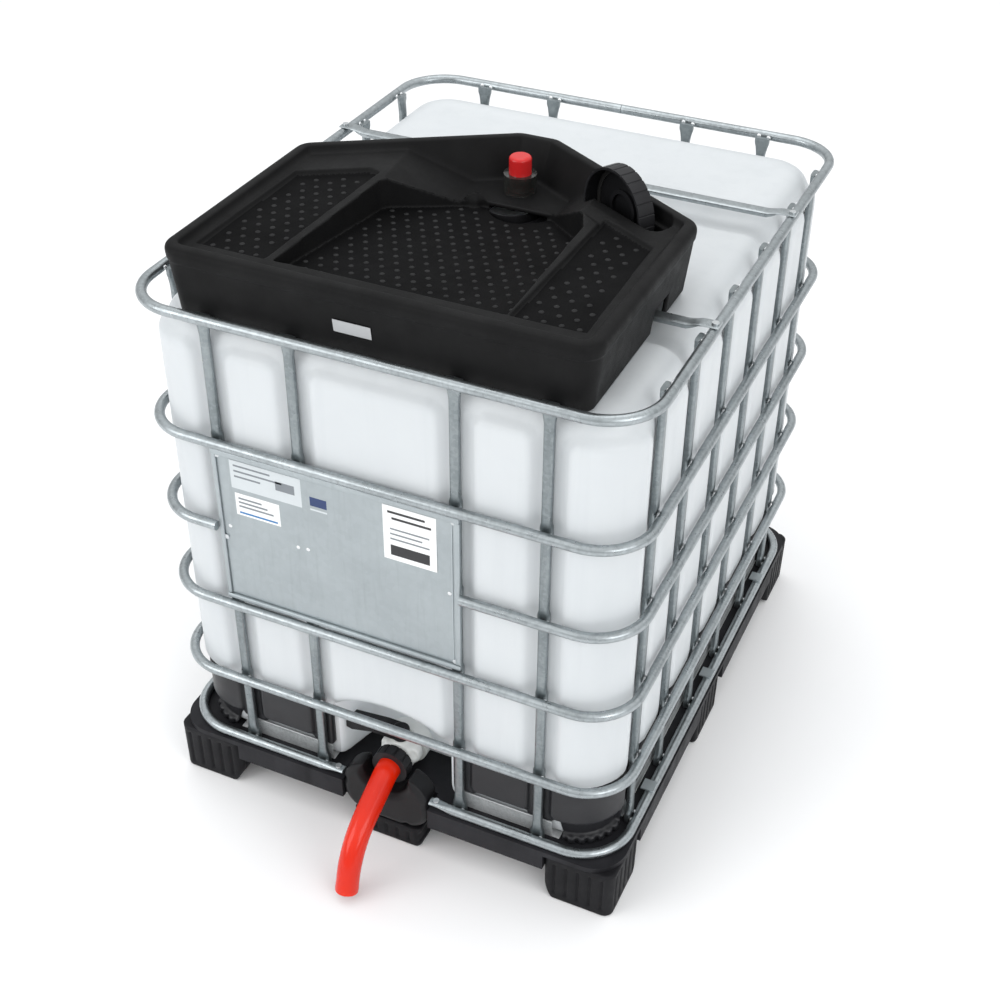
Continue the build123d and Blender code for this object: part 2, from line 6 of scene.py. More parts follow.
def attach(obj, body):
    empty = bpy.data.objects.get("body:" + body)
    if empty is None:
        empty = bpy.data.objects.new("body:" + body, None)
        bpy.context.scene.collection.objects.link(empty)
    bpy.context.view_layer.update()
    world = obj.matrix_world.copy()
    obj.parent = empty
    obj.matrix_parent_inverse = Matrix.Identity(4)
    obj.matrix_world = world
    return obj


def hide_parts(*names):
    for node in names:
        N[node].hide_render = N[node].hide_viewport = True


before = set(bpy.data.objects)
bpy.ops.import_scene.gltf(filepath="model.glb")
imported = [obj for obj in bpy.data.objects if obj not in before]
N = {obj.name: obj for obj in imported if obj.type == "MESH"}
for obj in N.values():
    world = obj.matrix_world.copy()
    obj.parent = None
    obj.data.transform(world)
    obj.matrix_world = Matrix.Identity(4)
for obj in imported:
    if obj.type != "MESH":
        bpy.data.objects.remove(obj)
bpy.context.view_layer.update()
MM = 0.001
rng = np.random.default_rng(7)

# ------------------------------------------------------------------ camera
cam_d = bpy.data.cameras.new("camera")
cam_d.sensor_width = 36.0
cam_d.lens = 54.663
cam_d.clip_end = 60.0
cam = bpy.data.objects.new("camera", cam_d)
bpy.context.scene.collection.objects.link(cam)
cam.matrix_world = Matrix((
    (0.90804, -0.25456, 0.33266, 1.08497),
    (0.41884, 0.53959, -0.73036, -2.42627),
    (0.00642, 0.80252, 0.59659, 2.44737),
    (0, 0, 0, 1)))
bpy.context.scene.camera = cam
bpy.context.scene.view_settings.view_transform = "Standard"


# ------------------------------------------------------------------ node helpers
class Mat:
    """A small builder for one procedural material."""

    def __init__(self, name):
        self.m = bpy.data.materials.new(name)
        self.m.use_nodes = True
        self.t = self.m.node_tree
        self.t.nodes.clear()
        self.out = self.n("ShaderNodeOutputMaterial")
        self.b = self.n("ShaderNodeBsdfPrincipled")
        self.link(self.b.outputs[0], self.out.inputs[0])
        self.co = self.n("ShaderNodeTexCoord").outputs["Object"]

    def n(self, kind, **props):
        node = self.t.nodes.new(kind)
        for k, v in props.items():
            setattr(node, k, v)
        return node

    def link(self, a, b):
        self.t.links.new(a, b)

    def set(self, **kw):
        for k, v in kw.items():
            self.b.inputs[k.replace("_", " ")].default_value = v

    def stretch(self, s):
        m = self.n("ShaderNodeMapping")
        m.inputs["Scale"].default_value = s
        self.link(self.co, m.inputs["Vector"])
        return m.outputs[0]

    def noise(self, scale, detail=4.0, rough=0.55, vec=None, dist=0.0):
        x = self.n("ShaderNodeTexNoise")
        x.inputs["Scale"].default_value = scale
        x.inputs["Detail"].default_value = detail
        x.inputs["Roughness"].default_value = rough
        x.inputs["Distortion"].default_value = dist
        self.link(vec if vec is not None else self.co, x.inputs["Vector"])
        return x.outputs["Fac"]

    def voronoi(self, scale, feature="F1", vec=None, out="Distance"):
        x = self.n("ShaderNodeTexVoronoi", feature=feature)
        x.inputs["Scale"].default_value = scale
        self.link(vec if vec is not None else self.co, x.inputs["Vector"])
        return x.outputs[out]

    def ramp(self, fac, *stops):
        x = self.n("ShaderNodeValToRGB")
        r = x.color_ramp
        while len(r.elements) < len(stops):
            r.elements.new(0.5)
        for e, (p, c) in zip(r.elements, stops):
            e.position = p
            e.color = (c, c, c, 1) if isinstance(c, (int, float)) else (*c, 1)
        self.link(fac, x.inputs[0])
        return x.outputs[0]

    def mix(self, fac, a, b, kind="MIX"):
        x = self.n("ShaderNodeMix", data_type="RGBA", blend_type=kind)
        for s, v in ((x.inputs[0], fac), (x.inputs[6], a), (x.inputs[7], b)):
            if isinstance(v, bpy.types.NodeSocket):
                self.link(v, s)
            elif isinstance(v, (int, float)) and s.type == "VALUE":
                s.default_value = v
            else:
                s.default_value = (*v, 1) if len(v) == 3 else v
        return x.outputs[2]

    def math(self, op, a, b=0.0):
        x = self.n("ShaderNodeMath", operation=op)
        for s, v in zip(x.inputs, (a, b)):
            if isinstance(v, bpy.types.NodeSocket):
                self.link(v, s)
            else:
                s.default_value = v
        return x.outputs[0]

    def sep(self):
        x = self.n("ShaderNodeSeparateXYZ")
        self.link(self.co, x.inputs[0])
        return x.outputs

    def bump(self, height, strength, dist=0.001):
        x = self.n("ShaderNodeBump")
        x.inputs["Strength"].default_value = strength
        x.inputs["Distance"].default_value = dist
        self.link(height, x.inputs["Height"])
        self.link(x.outputs[0], self.b.inputs["Normal"])
        return x

    def color(self, c):
        self.link(c, self.b.inputs["Base Color"])

    def rough(self, c):
        self.link(c, self.b.inputs["Roughness"])

    def edge(self, lo=0.5, hi=0.6):
        g = self.n("ShaderNodeNewGeometry")
        return self.ramp(g.outputs["Pointiness"], (lo, 0.0), (hi, 1.0))


def plastic(name, base, light, rough=(0.42, 0.6), grain=900.0, bump=0.25, wear_and_sheen=0.5, spec=0.4, dust=0.25, scratch=0.2):
    """Moulded plastic: grain, flow marks, scuffs, pale dust specks, paler edges that are partly wear and partly a
    painted sheen.
    """
    m = Mat(name)
    big = m.noise(5.0, 5.0, 0.6)
    flow = m.noise(14.0, 3.0, 0.5, m.stretch((1.0, 1.0, 0.25)), 0.8)
    mid = m.ramp(big, (0.35, 0.0), (0.7, 1.0))
    c = m.mix(mid, base, tuple(b * 0.55 + l * 0.45 for b, l in zip(base, light)))
    fine = m.noise(grain * 0.35, 3.0, 0.7)
    c = m.mix(m.ramp(fine, (0.45, 0.0), (0.8, dust)), c, light)
    scr = m.noise(60.0, 2.0, 0.9, m.stretch((1.0, 9.0, 3.0)), 2.0)
    c = m.mix(m.ramp(scr, (0.66, 0.0), (0.72, scratch)), c, light)
    # paler edges by pointiness, faded by the flow noise: partly wear, partly a painted sheen along the edges
    e = m.edge(0.52, 0.62)
    e = m.math("MULTIPLY", e, m.ramp(flow, (0.3, 0.2), (0.7, wear_and_sheen)))
    c = m.mix(e, c, tuple(min(1.0, l * 1.5) for l in light))
    m.color(c)
    m.rough(m.ramp(m.noise(22.0, 6.0, 0.65), (0.3, rough[0]), (0.7, rough[1])))
    m.set(Specular_IOR_Level=spec)
    h = m.math("ADD", m.math("MULTIPLY", m.noise(grain, 2.0, 0.6), 0.5), m.math("MULTIPLY", m.noise(40.0, 3.0, 0.5), 0.9))
    m.bump(h, bump, 0.0012)
    return m.m


def galvanised(name, dark, light, rough=(0.28, 0.48), metallic=0.85, scale=1.0, stretch=(1, 1, 1), bump=0.25, spangle=0.28):
    """Zinc-coated steel: spangle, drawn streaks, grey bloom, brighter rubbed edges."""
    m = Mat(name)
    sp = m.voronoi(170.0 * scale, out="Color")
    bw = m.n("ShaderNodeRGBToBW")
    m.link(sp, bw.inputs[0])
    streak = m.noise(90.0, 4.0, 0.6, m.stretch(stretch), 0.4)
    cloud = m.noise(7.0, 5.0, 0.62)
    c = m.mix(m.ramp(cloud, (0.3, 0.0), (0.72, 1.0)), dark, light)
    c = m.mix(m.ramp(bw.outputs[0], (0.2, 0.0), (0.8, spangle)), c, tuple(min(1.0, v * 1.35) for v in light))
    c = m.mix(m.ramp(streak, (0.52, 0.0), (0.75, 0.1 + spangle * 0.9)), c, tuple(v * 0.62 for v in dark))
    c = m.mix(m.math("MULTIPLY", m.edge(0.53, 0.66), 0.6), c, tuple(min(1.0, v * 1.5) for v in light))
    m.color(c)
    m.rough(m.ramp(m.noise(45.0, 5.0, 0.6), (0.3, rough[0]), (0.72, rough[1])))
    m.set(Metallic=metallic)
    m.bump(m.math("ADD", m.math("MULTIPLY", bw.outputs[0], 0.35), m.noise(260.0, 3.0, 0.6)), bump, 0.0006)
    return m.m


def natural(name, base, shade, rough=(0.34, 0.5), sss=0.12, streaks=True, radius=(0.02, 0.02, 0.022)):
    """Milky blow-moulded polyethylene: cloudy wall, vertical draw lines, slight glow."""
    m = Mat(name)
    cloud = m.noise(3.2, 5.0, 0.6)
    c = m.mix(m.ramp(cloud, (0.3, 0.0), (0.75, 0.75)), base, shade)
    draw = m.noise(26.0, 3.0, 0.5, m.stretch((1.0, 1.0, 0.06)), 0.3)
    c = m.mix(m.ramp(draw, (0.5, 0.0), (0.8, 0.35 if streaks else 0.1)), c, tuple(v * 0.93 for v in shade))
    speck = m.voronoi(420.0)
    c = m.mix(m.ramp(speck, (0.0, 0.12), (0.08, 0.0)), c, tuple(v * 0.7 for v in shade))
    m.color(c)
    m.rough(m.ramp(m.noise(18.0, 5.0, 0.6), (0.3, rough[0]), (0.7, rough[1])))
    m.set(Specular_IOR_Level=0.45, Subsurface_Weight=sss, Subsurface_Scale=0.02)
    m.b.inputs["Subsurface Radius"].default_value = (1.0, 1.0, 1.1)
    m.bump(m.math("ADD", m.math("MULTIPLY", m.noise(9.0, 3.0, 0.5, m.stretch((1.0, 1.0, 0.3))), 2.2), m.math("MULTIPLY", m.noise(500.0, 2.0, 0.6), 0.12)), 0.35, 0.002)
    return m.m


M = {
    "pallet_black": plastic("pallet_black", (0.0065, 0.0065, 0.0075), (0.021, 0.021, 0.024), (0.42, 0.62), 700, 0.35, 0.8, 0.13, 0.3),
    "collar_black": plastic("collar_black", (0.012, 0.012, 0.014), (0.036, 0.037, 0.041), (0.30, 0.46), 600, 0.2, 0.5, 0.32, 0.2),
    "funnel_black": plastic("funnel_black", (0.0048, 0.0048, 0.0050), (0.015, 0.015, 0.0155), (0.46, 0.62), 1100, 0.3, 0.9, 0.10, 0.2, 0.12),
    # funnel_floor_shade: a darker, less glossy copy of funnel_black for the floors inside the tray, painted shade
    "funnel_floor_shade": plastic("funnel_floor_shade", (0.0030, 0.0030, 0.0032), (0.0080, 0.0080, 0.0085), (0.5, 0.66), 1100, 0.3, 0.9, 0.04, 0.2, 0.08),
    # funnel_dots_highlight: a lighter copy of funnel_black for the drain studs, a painted highlight
    "funnel_dots_highlight": plastic("funnel_dots_highlight", (0.012, 0.012, 0.0125), (0.026, 0.026, 0.027), (0.4, 0.55), 1100, 0.2, 0.9, 0.10, 0.3, 0.1),
    "moulded_black": plastic("moulded_black", (0.0065, 0.0065, 0.0072), (0.020, 0.020, 0.022), (0.32, 0.5), 900, 0.2, 0.6, 0.22, 0.2),
    "seal_rubber": plastic("seal_rubber", (0.012, 0.012, 0.012), (0.028, 0.027, 0.026), (0.6, 0.8), 1400, 0.4, 0.2, 0.3, 0.3),
    # galvanised_tube and galvanised_upright_shade are lit and shaded copies of one zinc finish: the uprights' darker
    # copy is painted shade
    "galvanised_tube": galvanised("galvanised_tube", (0.26, 0.285, 0.295), (0.40, 0.435, 0.45), (0.24, 0.40), 0.92, 1.0, (1, 1, 0.2), 0.18),
    "galvanised_upright_shade": galvanised("galvanised_upright_shade", (0.18, 0.205, 0.215), (0.29, 0.32, 0.33), (0.26, 0.42), 0.92, 1.0, (1, 1, 0.12), 0.18),
    "galvanised_sheet": galvanised("galvanised_sheet", (0.35, 0.385, 0.40), (0.40, 0.44, 0.455), (0.36, 0.48), 0.8, 0.5, (1, 1, 0.08), 0.08, 0.1),
    # tray_zinc: lighter than the label sheet's zinc; partly a bright zinc tone, partly a painted reflection on the
    # tray strips
    "tray_zinc": galvanised("tray_zinc", (0.46, 0.49, 0.50), (0.70, 0.72, 0.73), (0.3, 0.45), 0.5, 1.5, (0.3, 1, 1), 0.2),
    "zinc_screw": galvanised("zinc_screw", (0.35, 0.37, 0.38), (0.55, 0.57, 0.58), (0.25, 0.4), 0.95, 2.0),
    "bottle_natural": natural("bottle_natural", (0.635, 0.66, 0.675), (0.58, 0.61, 0.63)),
    # bottle_recess_glow: a lighter copy of the bottle plastic for the valve pocket, painted light
    "bottle_recess_glow": natural("bottle_recess_glow", (0.66, 0.69, 0.71), (0.60, 0.63, 0.65)),
    # valve_natural: the pale base is partly the valve's own whiter plastic and partly raised to make up for the shade
    # it sits in, painted light
    "valve_natural": natural("valve_natural", (0.80, 0.81, 0.79), (0.66, 0.68, 0.66), (0.28, 0.45), 0.15, False),
    "disc_natural": natural("disc_natural", (0.62, 0.63, 0.60), (0.5, 0.5, 0.47), (0.3, 0.45), 0.1, False),
    "rod_grey": natural("rod_grey", (0.45, 0.46, 0.46), (0.33, 0.34, 0.35), (0.3, 0.5), 0.05, False),
}


# a faint emission makes the pocket glow: painted light standing in for light coming through the wall
M["bottle_recess_glow"].node_tree.nodes["Principled BSDF"].inputs["Emission Color"].default_value = (0.70, 0.74, 0.76, 1.0)
M["bottle_recess_glow"].node_tree.nodes["Principled BSDF"].inputs["Emission Strength"].default_value = 0.16


def orange(name, base, deep, pale):
    m = Mat(name)
    c = m.mix(m.ramp(m.noise(6.0, 4.0, 0.55), (0.3, 0.0), (0.75, 1.0)), base, deep)
    c = m.mix(m.ramp(m.noise(160.0, 3.0, 0.7, m.stretch((1.0, 0.3, 1.0))), (0.6, 0.0), (0.85, 0.3)), c, pale)
    c = m.mix(m.math("MULTIPLY", m.edge(0.53, 0.64), 0.4), c, pale)
    m.color(c)
    m.rough(m.ramp(m.noise(30.0, 4.0, 0.6), (0.3, 0.14), (0.7, 0.24)))
    m.set(Specular_IOR_Level=0.36)
    m.bump(m.math("ADD", m.noise(60.0, 2.0, 0.5), m.math("MULTIPLY", m.noise(700.0, 2.0, 0.6), 0.15)), 0.12, 0.001)
    return m.m


M["spout_orange"] = orange("spout_orange", (0.74, 0.022, 0.002), (0.60, 0.012, 0.0015), (0.86, 0.06, 0.012))
M["indicator_red"] = orange("indicator_red", (0.60, 0.022, 0.022), (0.52, 0.014, 0.016), (0.70, 0.06, 0.06))


def clear(name):
    m = Mat(name)
    # the dark tint stands in for the dark inside seen through the clear sleeve: painted shade
    c = m.mix(m.ramp(m.noise(40.0, 4.0, 0.6), (0.3, 0.0), (0.7, 1.0)), (0.10, 0.103, 0.096), (0.17, 0.175, 0.165))
    m.color(c)
    m.rough(m.ramp(m.noise(60.0, 3.0, 0.6), (0.3, 0.06), (0.7, 0.16)))
    m.set(Transmission_Weight=0.86, IOR=1.45)
    m.bump(m.noise(80.0, 2.0, 0.5), 0.08, 0.001)
    return m.m


M["sleeve_clear"] = clear("sleeve_clear")


def paper(name, base=(0.86, 0.87, 0.87)):
    m = Mat(name)
    c = m.mix(m.ramp(m.noise(30.0, 5.0, 0.6), (0.3, 0.0), (0.75, 0.5)), base, tuple(v * 0.9 for v in base))
    m.color(c)
    m.rough(m.ramp(m.noise(90.0, 3.0, 0.6), (0.3, 0.32), (0.7, 0.5)))
    m.bump(m.noise(900.0, 2.0, 0.6), 0.08, 0.0004)
    return m.m


M["sticker_white"] = paper("sticker_white")
M["ink_black"] = paper("ink_black", (0.018, 0.018, 0.020))
M["ink_blue"] = paper("ink_blue", (0.02, 0.17, 0.42))
M["ink_navy"] = paper("ink_navy", (0.012, 0.035, 0.13))
M["ink_grey"] = paper("ink_grey", (0.20, 0.22, 0.24))
M["label_grey"] = paper("label_grey", (0.60, 0.64, 0.66))
# weld_glint: a much lighter copy of the zinc finish for the weld beads, a painted glint
M["weld_glint"] = galvanised("weld_glint", (0.60, 0.63, 0.65), (0.78, 0.80, 0.82), (0.3, 0.45), 0.7, 2.0)

SLOTS = {"pallet_black", "collar_black", "galvanised_tube", "galvanised_sheet", "zinc_screw", "bottle_natural",
         "sticker_white", "valve_natural", "moulded_black", "disc_natural", "seal_rubber", "spout_orange",
         "funnel_black", "sleeve_clear", "indicator_red", "rod_grey"}
for nm, o in N.items():
    for s in o.material_slots:
        key = s.material.name.split(".")[0] if s.material else None
        if key in M:
            s.material = M[key]


# ------------------------------------------------------------------ mesh helpers (all in mm)
def make(name, verts, faces, mats, body, replaces=(), smooth=True, ids=None, auto=None):
    v = np.asarray(verts, float) * MM
    me = bpy.data.meshes.new(name)
    if isinstance(faces, np.ndarray):
        me.vertices.add(len(v))
        me.vertices.foreach_set("co", v.astype(np.float32).ravel())
        nf, k = faces.shape
        me.loops.add(nf * k)
        me.loops.foreach_set("vertex_index", faces.astype(np.int32).ravel())
        me.polygons.add(nf)
        me.polygons.foreach_set("loop_start", np.arange(0, nf * k, k, dtype=np.int32))
        me.update(calc_edges=True)
    else:
        me.from_pydata([tuple(p) for p in v], [], [tuple(int(i) for i in f) for f in faces])
        me.update()
    for m in (mats if isinstance(mats, (list, tuple)) else [mats]):
        me.materials.append(M[m] if isinstance(m, str) else m)
    if ids is not None:
        me.polygons.foreach_set("material_index", np.asarray(ids, np.int32))
    me.polygons.foreach_set("use_smooth", np.full(len(me.polygons), bool(smooth)))
    o = bpy.data.objects.new(name, me)
    bpy.context.scene.collection.objects.link(o)
    if auto is not None:
        bpy.context.view_layer.objects.active = o
        for x in bpy.context.selected_objects:
            x.select_set(False)
        o.select_set(True)
        bpy.ops.object.shade_smooth_by_angle(angle=math.radians(auto))
    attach(o, body)
    if replaces:
        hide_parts(*replaces)
    return o


class Parts:
    """Collects several closed shells into one mesh."""

    def __init__(self):
        self.v, self.f, self.m, self.n = [], [], [], 0

    def add(self, v, f, mat=0):
        v = np.asarray(v, float)
        self.v.append(v)
        for q in f:
            self.f.append([int(i) + self.n for i in q])
            self.m.append(mat)
        self.n += len(v)

    def out(self):
        return np.vstack(self.v), self.f


def box(x0, x1, y0, y1, z0, z1, bevel=1.0, segs=2):
    bm = bmesh.new()
    bmesh.ops.create_cube(bm, size=1.0)
    for v in bm.verts:
        v.co = Vector(((x0 + x1) / 2 + v.co.x * (x1 - x0), (y0 + y1) / 2 + v.co.y * (y1 - y0), (z0 + z1) / 2 + v.co.z * (z1 - z0)))
    if bevel > 0:
        bmesh.ops.bevel(bm, geom=bm.edges[:], offset=bevel, segments=segs, affect="EDGES", profile=0.5)
    bm.verts.index_update()
    v = np.array([tuple(p.co) for p in bm.verts])
    f = [[q.index for q in p.verts] for p in bm.faces]
    bm.free()
    return v, f


def lathe(profile, seg=48, axis="z", centre=(0, 0, 0), closed=True, radial=None):
    """profile: (r, h) points, h along the axis; a closed loop of points, or one that starts and ends on the axis."""
    v, f = [], []
    n = len(profile)
    for i in range(seg):
        a = 2 * math.pi * i / seg
        for r, h in profile:
            rr = r * (radial(a, r, h) if radial else 1.0)
            x, y = rr * math.cos(a), rr * math.sin(a)
            if axis == "z":
                v.append((x, y, h))
            elif axis == "y":
                v.append((x, h, y))
            else:
                v.append((h, x, y))
    for i in range(seg):
        j = (i + 1) % seg
        for k in range(n if closed else n - 1):
            l = (k + 1) % n
            q = [i * n + k, j * n + k, j * n + l, i * n + l]
            f.append(q if axis != "y" else q[::-1])
    return np.array(v) + np.array(centre, float), f


def sweep(pts, rings, closed_ends=True):
    """rings: for each point an array (k,3) of section points already in place."""
    k = len(rings[0])
    v = np.vstack(rings)
    f = []
    for i in range(len(rings) - 1):
        for j in range(k):
            l = (j + 1) % k
            f.append([i * k + j, i * k + l, (i + 1) * k + l, (i + 1) * k + j])
    if closed_ends:
        f.append(list(range(k))[::-1])
        f.append([(len(rings) - 1) * k + j for j in range(k)])
    return v, f


def blob(c, r, seg=8, rings=5):
    v, f = [], []
    for i in range(1, rings):
        t = math.pi * i / rings
        for j in range(seg):
            a = 2 * math.pi * j / seg
            v.append((c[0] + r[0] * math.sin(t) * math.cos(a), c[1] + r[1] * math.sin(t) * math.sin(a), c[2] + r[2] * math.cos(t)))
    top, bot = len(v), len(v) + 1
    v += [(c[0], c[1], c[2] + r[2]), (c[0], c[1], c[2] - r[2])]
    for j in range(seg):
        l = (j + 1) % seg
        f.append([top, j, l])
        for i in range(rings - 2):
            f.append([i * seg + j, (i + 1) * seg + j, (i + 1) * seg + l, i * seg + l])
        f.append([bot, (rings - 2) * seg + l, (rings - 2) * seg + j])
    return np.array(v), f


def screw(c, n, r=5.0, h=3.0):
    """A washer-headed screw at c, its axis along unit normal n."""
    prof = [(0, 0), (r * 1.45, 0), (r * 1.45, h * 0.25), (r * 1.05, h * 0.35), (r, h * 0.8), (r * 0.8, h), (r * 0.32, h), (r * 0.25, h * 0.6), (0, h * 0.6)]
    v, f = lathe(prof, 18, closed=False)
    n = Vector(n).normalized()
    q = n.to_track_quat("Z", "Y").to_matrix()
    v = np.array([tuple(q @ Vector(p)) for p in v]) + np.array(c, float)
    return v, f


# ------------------------------------------------------------------ distance functions
def sstep(t):
    t = np.clip(t, 0.0, 1.0)
    return t * t * (3 - 2 * t)


def smax(a, b, k):
    h = np.maximum(k - np.abs(a - b), 0.0) / k
    return np.maximum(a, b) + h * h * k * 0.25


def smin(a, b, k):
    h = np.maximum(k - np.abs(a - b), 0.0) / k
    return np.minimum(a, b) - h * h * k * 0.25


def poly(x, y, pts):
    n = len(pts)
    d, s = None, None
    for i in range(n):
        ax, ay = pts[i]
        bx, by = pts[i - 1]
        ex, ey = bx - ax, by - ay
        wx, wy = x - ax, y - ay
        t = np.clip((wx * ex + wy * ey) / (ex * ex + ey * ey), 0, 1)
        dx, dy = wx - ex * t, wy - ey * t
        q = dx * dx + dy * dy
        d = q if d is None else np.minimum(d, q)
        c1, c2, c3 = (y >= ay), (y < by), (ex * wy > ey * wx)
        flip = (c1 & c2 & c3) | (~c1 & ~c2 & ~c3)
        s = flip if s is None else (s ^ flip)
    return np.where(s, -1.0, 1.0) * np.sqrt(d)


def inset(pts, r):
    n = len(pts)
    area = sum(pts[i][0] * pts[(i + 1) % n][1] - pts[(i + 1) % n][0] * pts[i][1] for i in range(n))
    sg = 1.0 if area > 0 else -1.0
    lines = []
    for i in range(n):
        a, b = np.array(pts[i], float), np.array(pts[(i + 1) % n], float)
        d = (b - a) / np.linalg.norm(b - a)
        nrm = np.array([-d[1], d[0]]) * sg
        lines.append((a + nrm * r, d))
    out = []
    for i in range(n):
        (p, d), (q, e) = lines[i - 1], lines[i]
        t = np.linalg.solve(np.array([d, -e]).T, q - p)[0]
        out.append(tuple(p + d * t))
    return out


def rpoly(x, y, pts, r):
    return poly(x, y, inset(pts, r)) - r


def rrect(x, y, hx, hy, r):
    qx, qy = np.abs(x) - hx + r, np.abs(y) - hy + r
    return np.hypot(np.maximum(qx, 0), np.maximum(qy, 0)) + np.minimum(np.maximum(qx, qy), 0) - r


def nets(f, lo, hi, h, newton=2):
    """A closed quad mesh of the zero level of f between two corners, on cells of h mm, pulled onto the surface."""
    lo = np.array(lo, float)
    n = np.ceil((np.array(hi, float) - lo) / h).astype(int) + 1
    xs = (lo[0] + h * np.arange(n[0]))[:, None, None]
    ys = (lo[1] + h * np.arange(n[1]))[None, :, None]
    zs = (lo[2] + h * np.arange(n[2]))[None, None, :]
    F = np.array(np.broadcast_to(f(xs, ys, zs), n), dtype=np.float32)
    F[np.abs(F) < 1e-4] = 1e-4
    for s in (0, -1):
        F[s] = np.maximum(F[s], 0.1)
        F[:, s] = np.maximum(F[:, s], 0.1)
        F[:, :, s] = np.maximum(F[:, :, s], 0.1)
    ins = F < 0
    ny, nz = int(n[1]), int(n[2])
    allc, allp = [], []
    for ax in range(3):
        s0 = [slice(None)] * 3
        s1 = [slice(None)] * 3
        s0[ax], s1[ax] = slice(0, -1), slice(1, None)
        A, B = ins[tuple(s0)], ins[tuple(s1)]
        E = np.argwhere(A != B)
        ei = tuple(E.T)
        fa, fb = F[tuple(s0)][ei], F[tuple(s1)][ei]
        p = E.astype(float)
        p[:, ax] += fa / (fa - fb)
        o1, o2 = [a for a in range(3) if a != ax]
        cells = []
        for d1, d2 in ((1, 1), (0, 1), (0, 0), (1, 0)):
            c = E.copy()
            c[:, o1] -= d1
            c[:, o2] -= d2
            cells.append((c[:, 0] * ny + c[:, 1]) * nz + c[:, 2])
        q = np.stack(cells, 1)
        flip = (~A[ei]) ^ (ax == 1)
        q[flip] = q[flip][:, ::-1]
        allc.append(q)
        allp.append(p)
    Q, P = np.vstack(allc), np.vstack(allp)
    u, inv = np.unique(Q.ravel(), return_inverse=True)
    inv = inv.reshape(-1)
    rep = np.repeat(P, 4, axis=0)
    cnt = np.bincount(inv).astype(float)
    V = np.stack([np.bincount(inv, weights=rep[:, a]) / cnt for a in range(3)], 1) * h + lo
    for _ in range(newton):
        x, y, z = V[:, 0], V[:, 1], V[:, 2]
        f0 = f(x, y, z)
        e = 0.35
        g = np.stack([f(x + e, y, z) - f0, f(x, y + e, z) - f0, f(x, y, z + e) - f0], 1) / e
        g2 = np.maximum((g * g).sum(1), 0.25)
        st = np.clip(f0, -h * 0.45, h * 0.45)
        V = V - g * (st / g2)[:, None]
    return V, inv.reshape(-1, 4)


# ------------------------------------------------------------------ funnel tray
RIM = [(-404, -576), (404, -576), (404, -94), (40, 134), (-40, 134), (-404, -94)]
RIM_R = 42
RIM_IN = inset(RIM, RIM_R)
LSHELF = [(-358, -509), (-229, -509), (-219, -128), (-240, -122), (-354, -192)]
MID = [(-208, -510), (220, -508), (212, -172), (190, -118), (100, -38), (-50, -38), (-92, -72), (-186, -142), (-197, -160)]
RSHELF = [(229, -506), (353, -504), (347, -196), (238, -128)]


REAR = [(-213, -124), (-192, -146), (-92, -74), (-50, -40), (100, -40), (190, -118), (236, -150), (420, -60), (40, 150), (-40, 150), (-236, 26)]


def mid_floor(x, y):
    return np.maximum(1226 - 0.0924 * (y + 530) - 5.0 * (1 - np.clip(np.abs(x - 25) / 215, 0, 1)), 1176.0)


def f_funnel(x, y, z):
    P = poly(x, y, RIM_IN) - RIM_R
    outer = (P + 0.4 + (1265 - z) * 0.1157 + 2.2 * sstep((1240 - z) / 7.0)) * 0.99
    o = smax(outer, z - 1264.6, 17)
    wall = P + 25 + (1265 - z) * 0.42
    cav = smax(wall, 1250 - z, 9)
    L = poly(x, y, LSHELF)
    cav = np.minimum(cav, smax(L - (z - 1240) * 0.5, 1240 - z, 6))
    cav = np.minimum(cav, smax(poly(x, y, RSHELF) - (z - 1240) * 0.5, 1240 - z, 6))
    Mp = poly(x, y, MID)
    cav = np.minimum(cav, smax((Mp - (z - 1226) * 0.05), mid_floor(x, y) - z, 4))
    d = np.clip((x - 196) * (-0.519) + (y + 59) * (-0.855), 0, 72)
    wedge = np.minimum(1255 - 0.21 * d, 1190 + 0.72 * (x - 106))
    zb = np.maximum(np.maximum(1190.0, 1251.0 - 0.49 * (x + 200) - 0.0575 * (y + 126)), wedge)
    cav = np.minimum(cav, smax(smax(wall, poly(x, y, REAR), 5), zb - z, 7))
    nub = np.sqrt((x + 58) ** 2 + (y + 46) ** 2 + (z - 1188) ** 2) - 12
    cav = smax(cav, -nub, 14)
    bowl = smax(np.hypot(x - 30, (y + 14) * 0.92) - 64, np.abs(z - 1164) - 18.5, 4)
    cav = np.minimum(cav, bowl)
    cav = np.minimum(cav, np.maximum(np.hypot(x, y) - 53, z - 1170))
    ca, sa = math.cos(math.radians(-31)), math.sin(math.radians(-31))
    u = (x - 254) * ca + (y + 72.6) * sa
    v = -(x - 254) * sa + (y + 72.6) * ca
    slot = smax(rrect(u, v - 4, 104, 25, 22), 1156 - z, 4)
    slot2 = smax(rrect(u - 4, v - 14, 98, 22, 20), 1232 - z, 6)
    cav = np.minimum(cav, np.minimum(slot, slot2))
    T = smax(o, -cav, 3)
    shell = np.maximum(T, -(T + 7.5))
    shell = smax(shell, 1134 - z, 3)
    notch = np.maximum(np.abs(y + 245) - 34, z - 1178)
    return smax(shell, -notch, 4)


fv, ff = nets(f_funnel, (-411, -573, 1129), (411, 142, 1271), 3.1)
fp = Parts()
extra_v, extra_f = [], []


def inside(pt, pts, margin):
    return float(poly(np.array([pt[0]]), np.array([pt[1]]), pts)[0]) < -margin


dome_v, dome_f = [], []
nb = 0


def dome(x, y, z):
    global nb
    v, f = blob((x, y, z - 0.6), (5.4, 5.4, 2.7), 10, 6)
    dome_v.append(v)
    for q in f:
        dome_f.append([i + nb for i in q])
    nb += len(v)


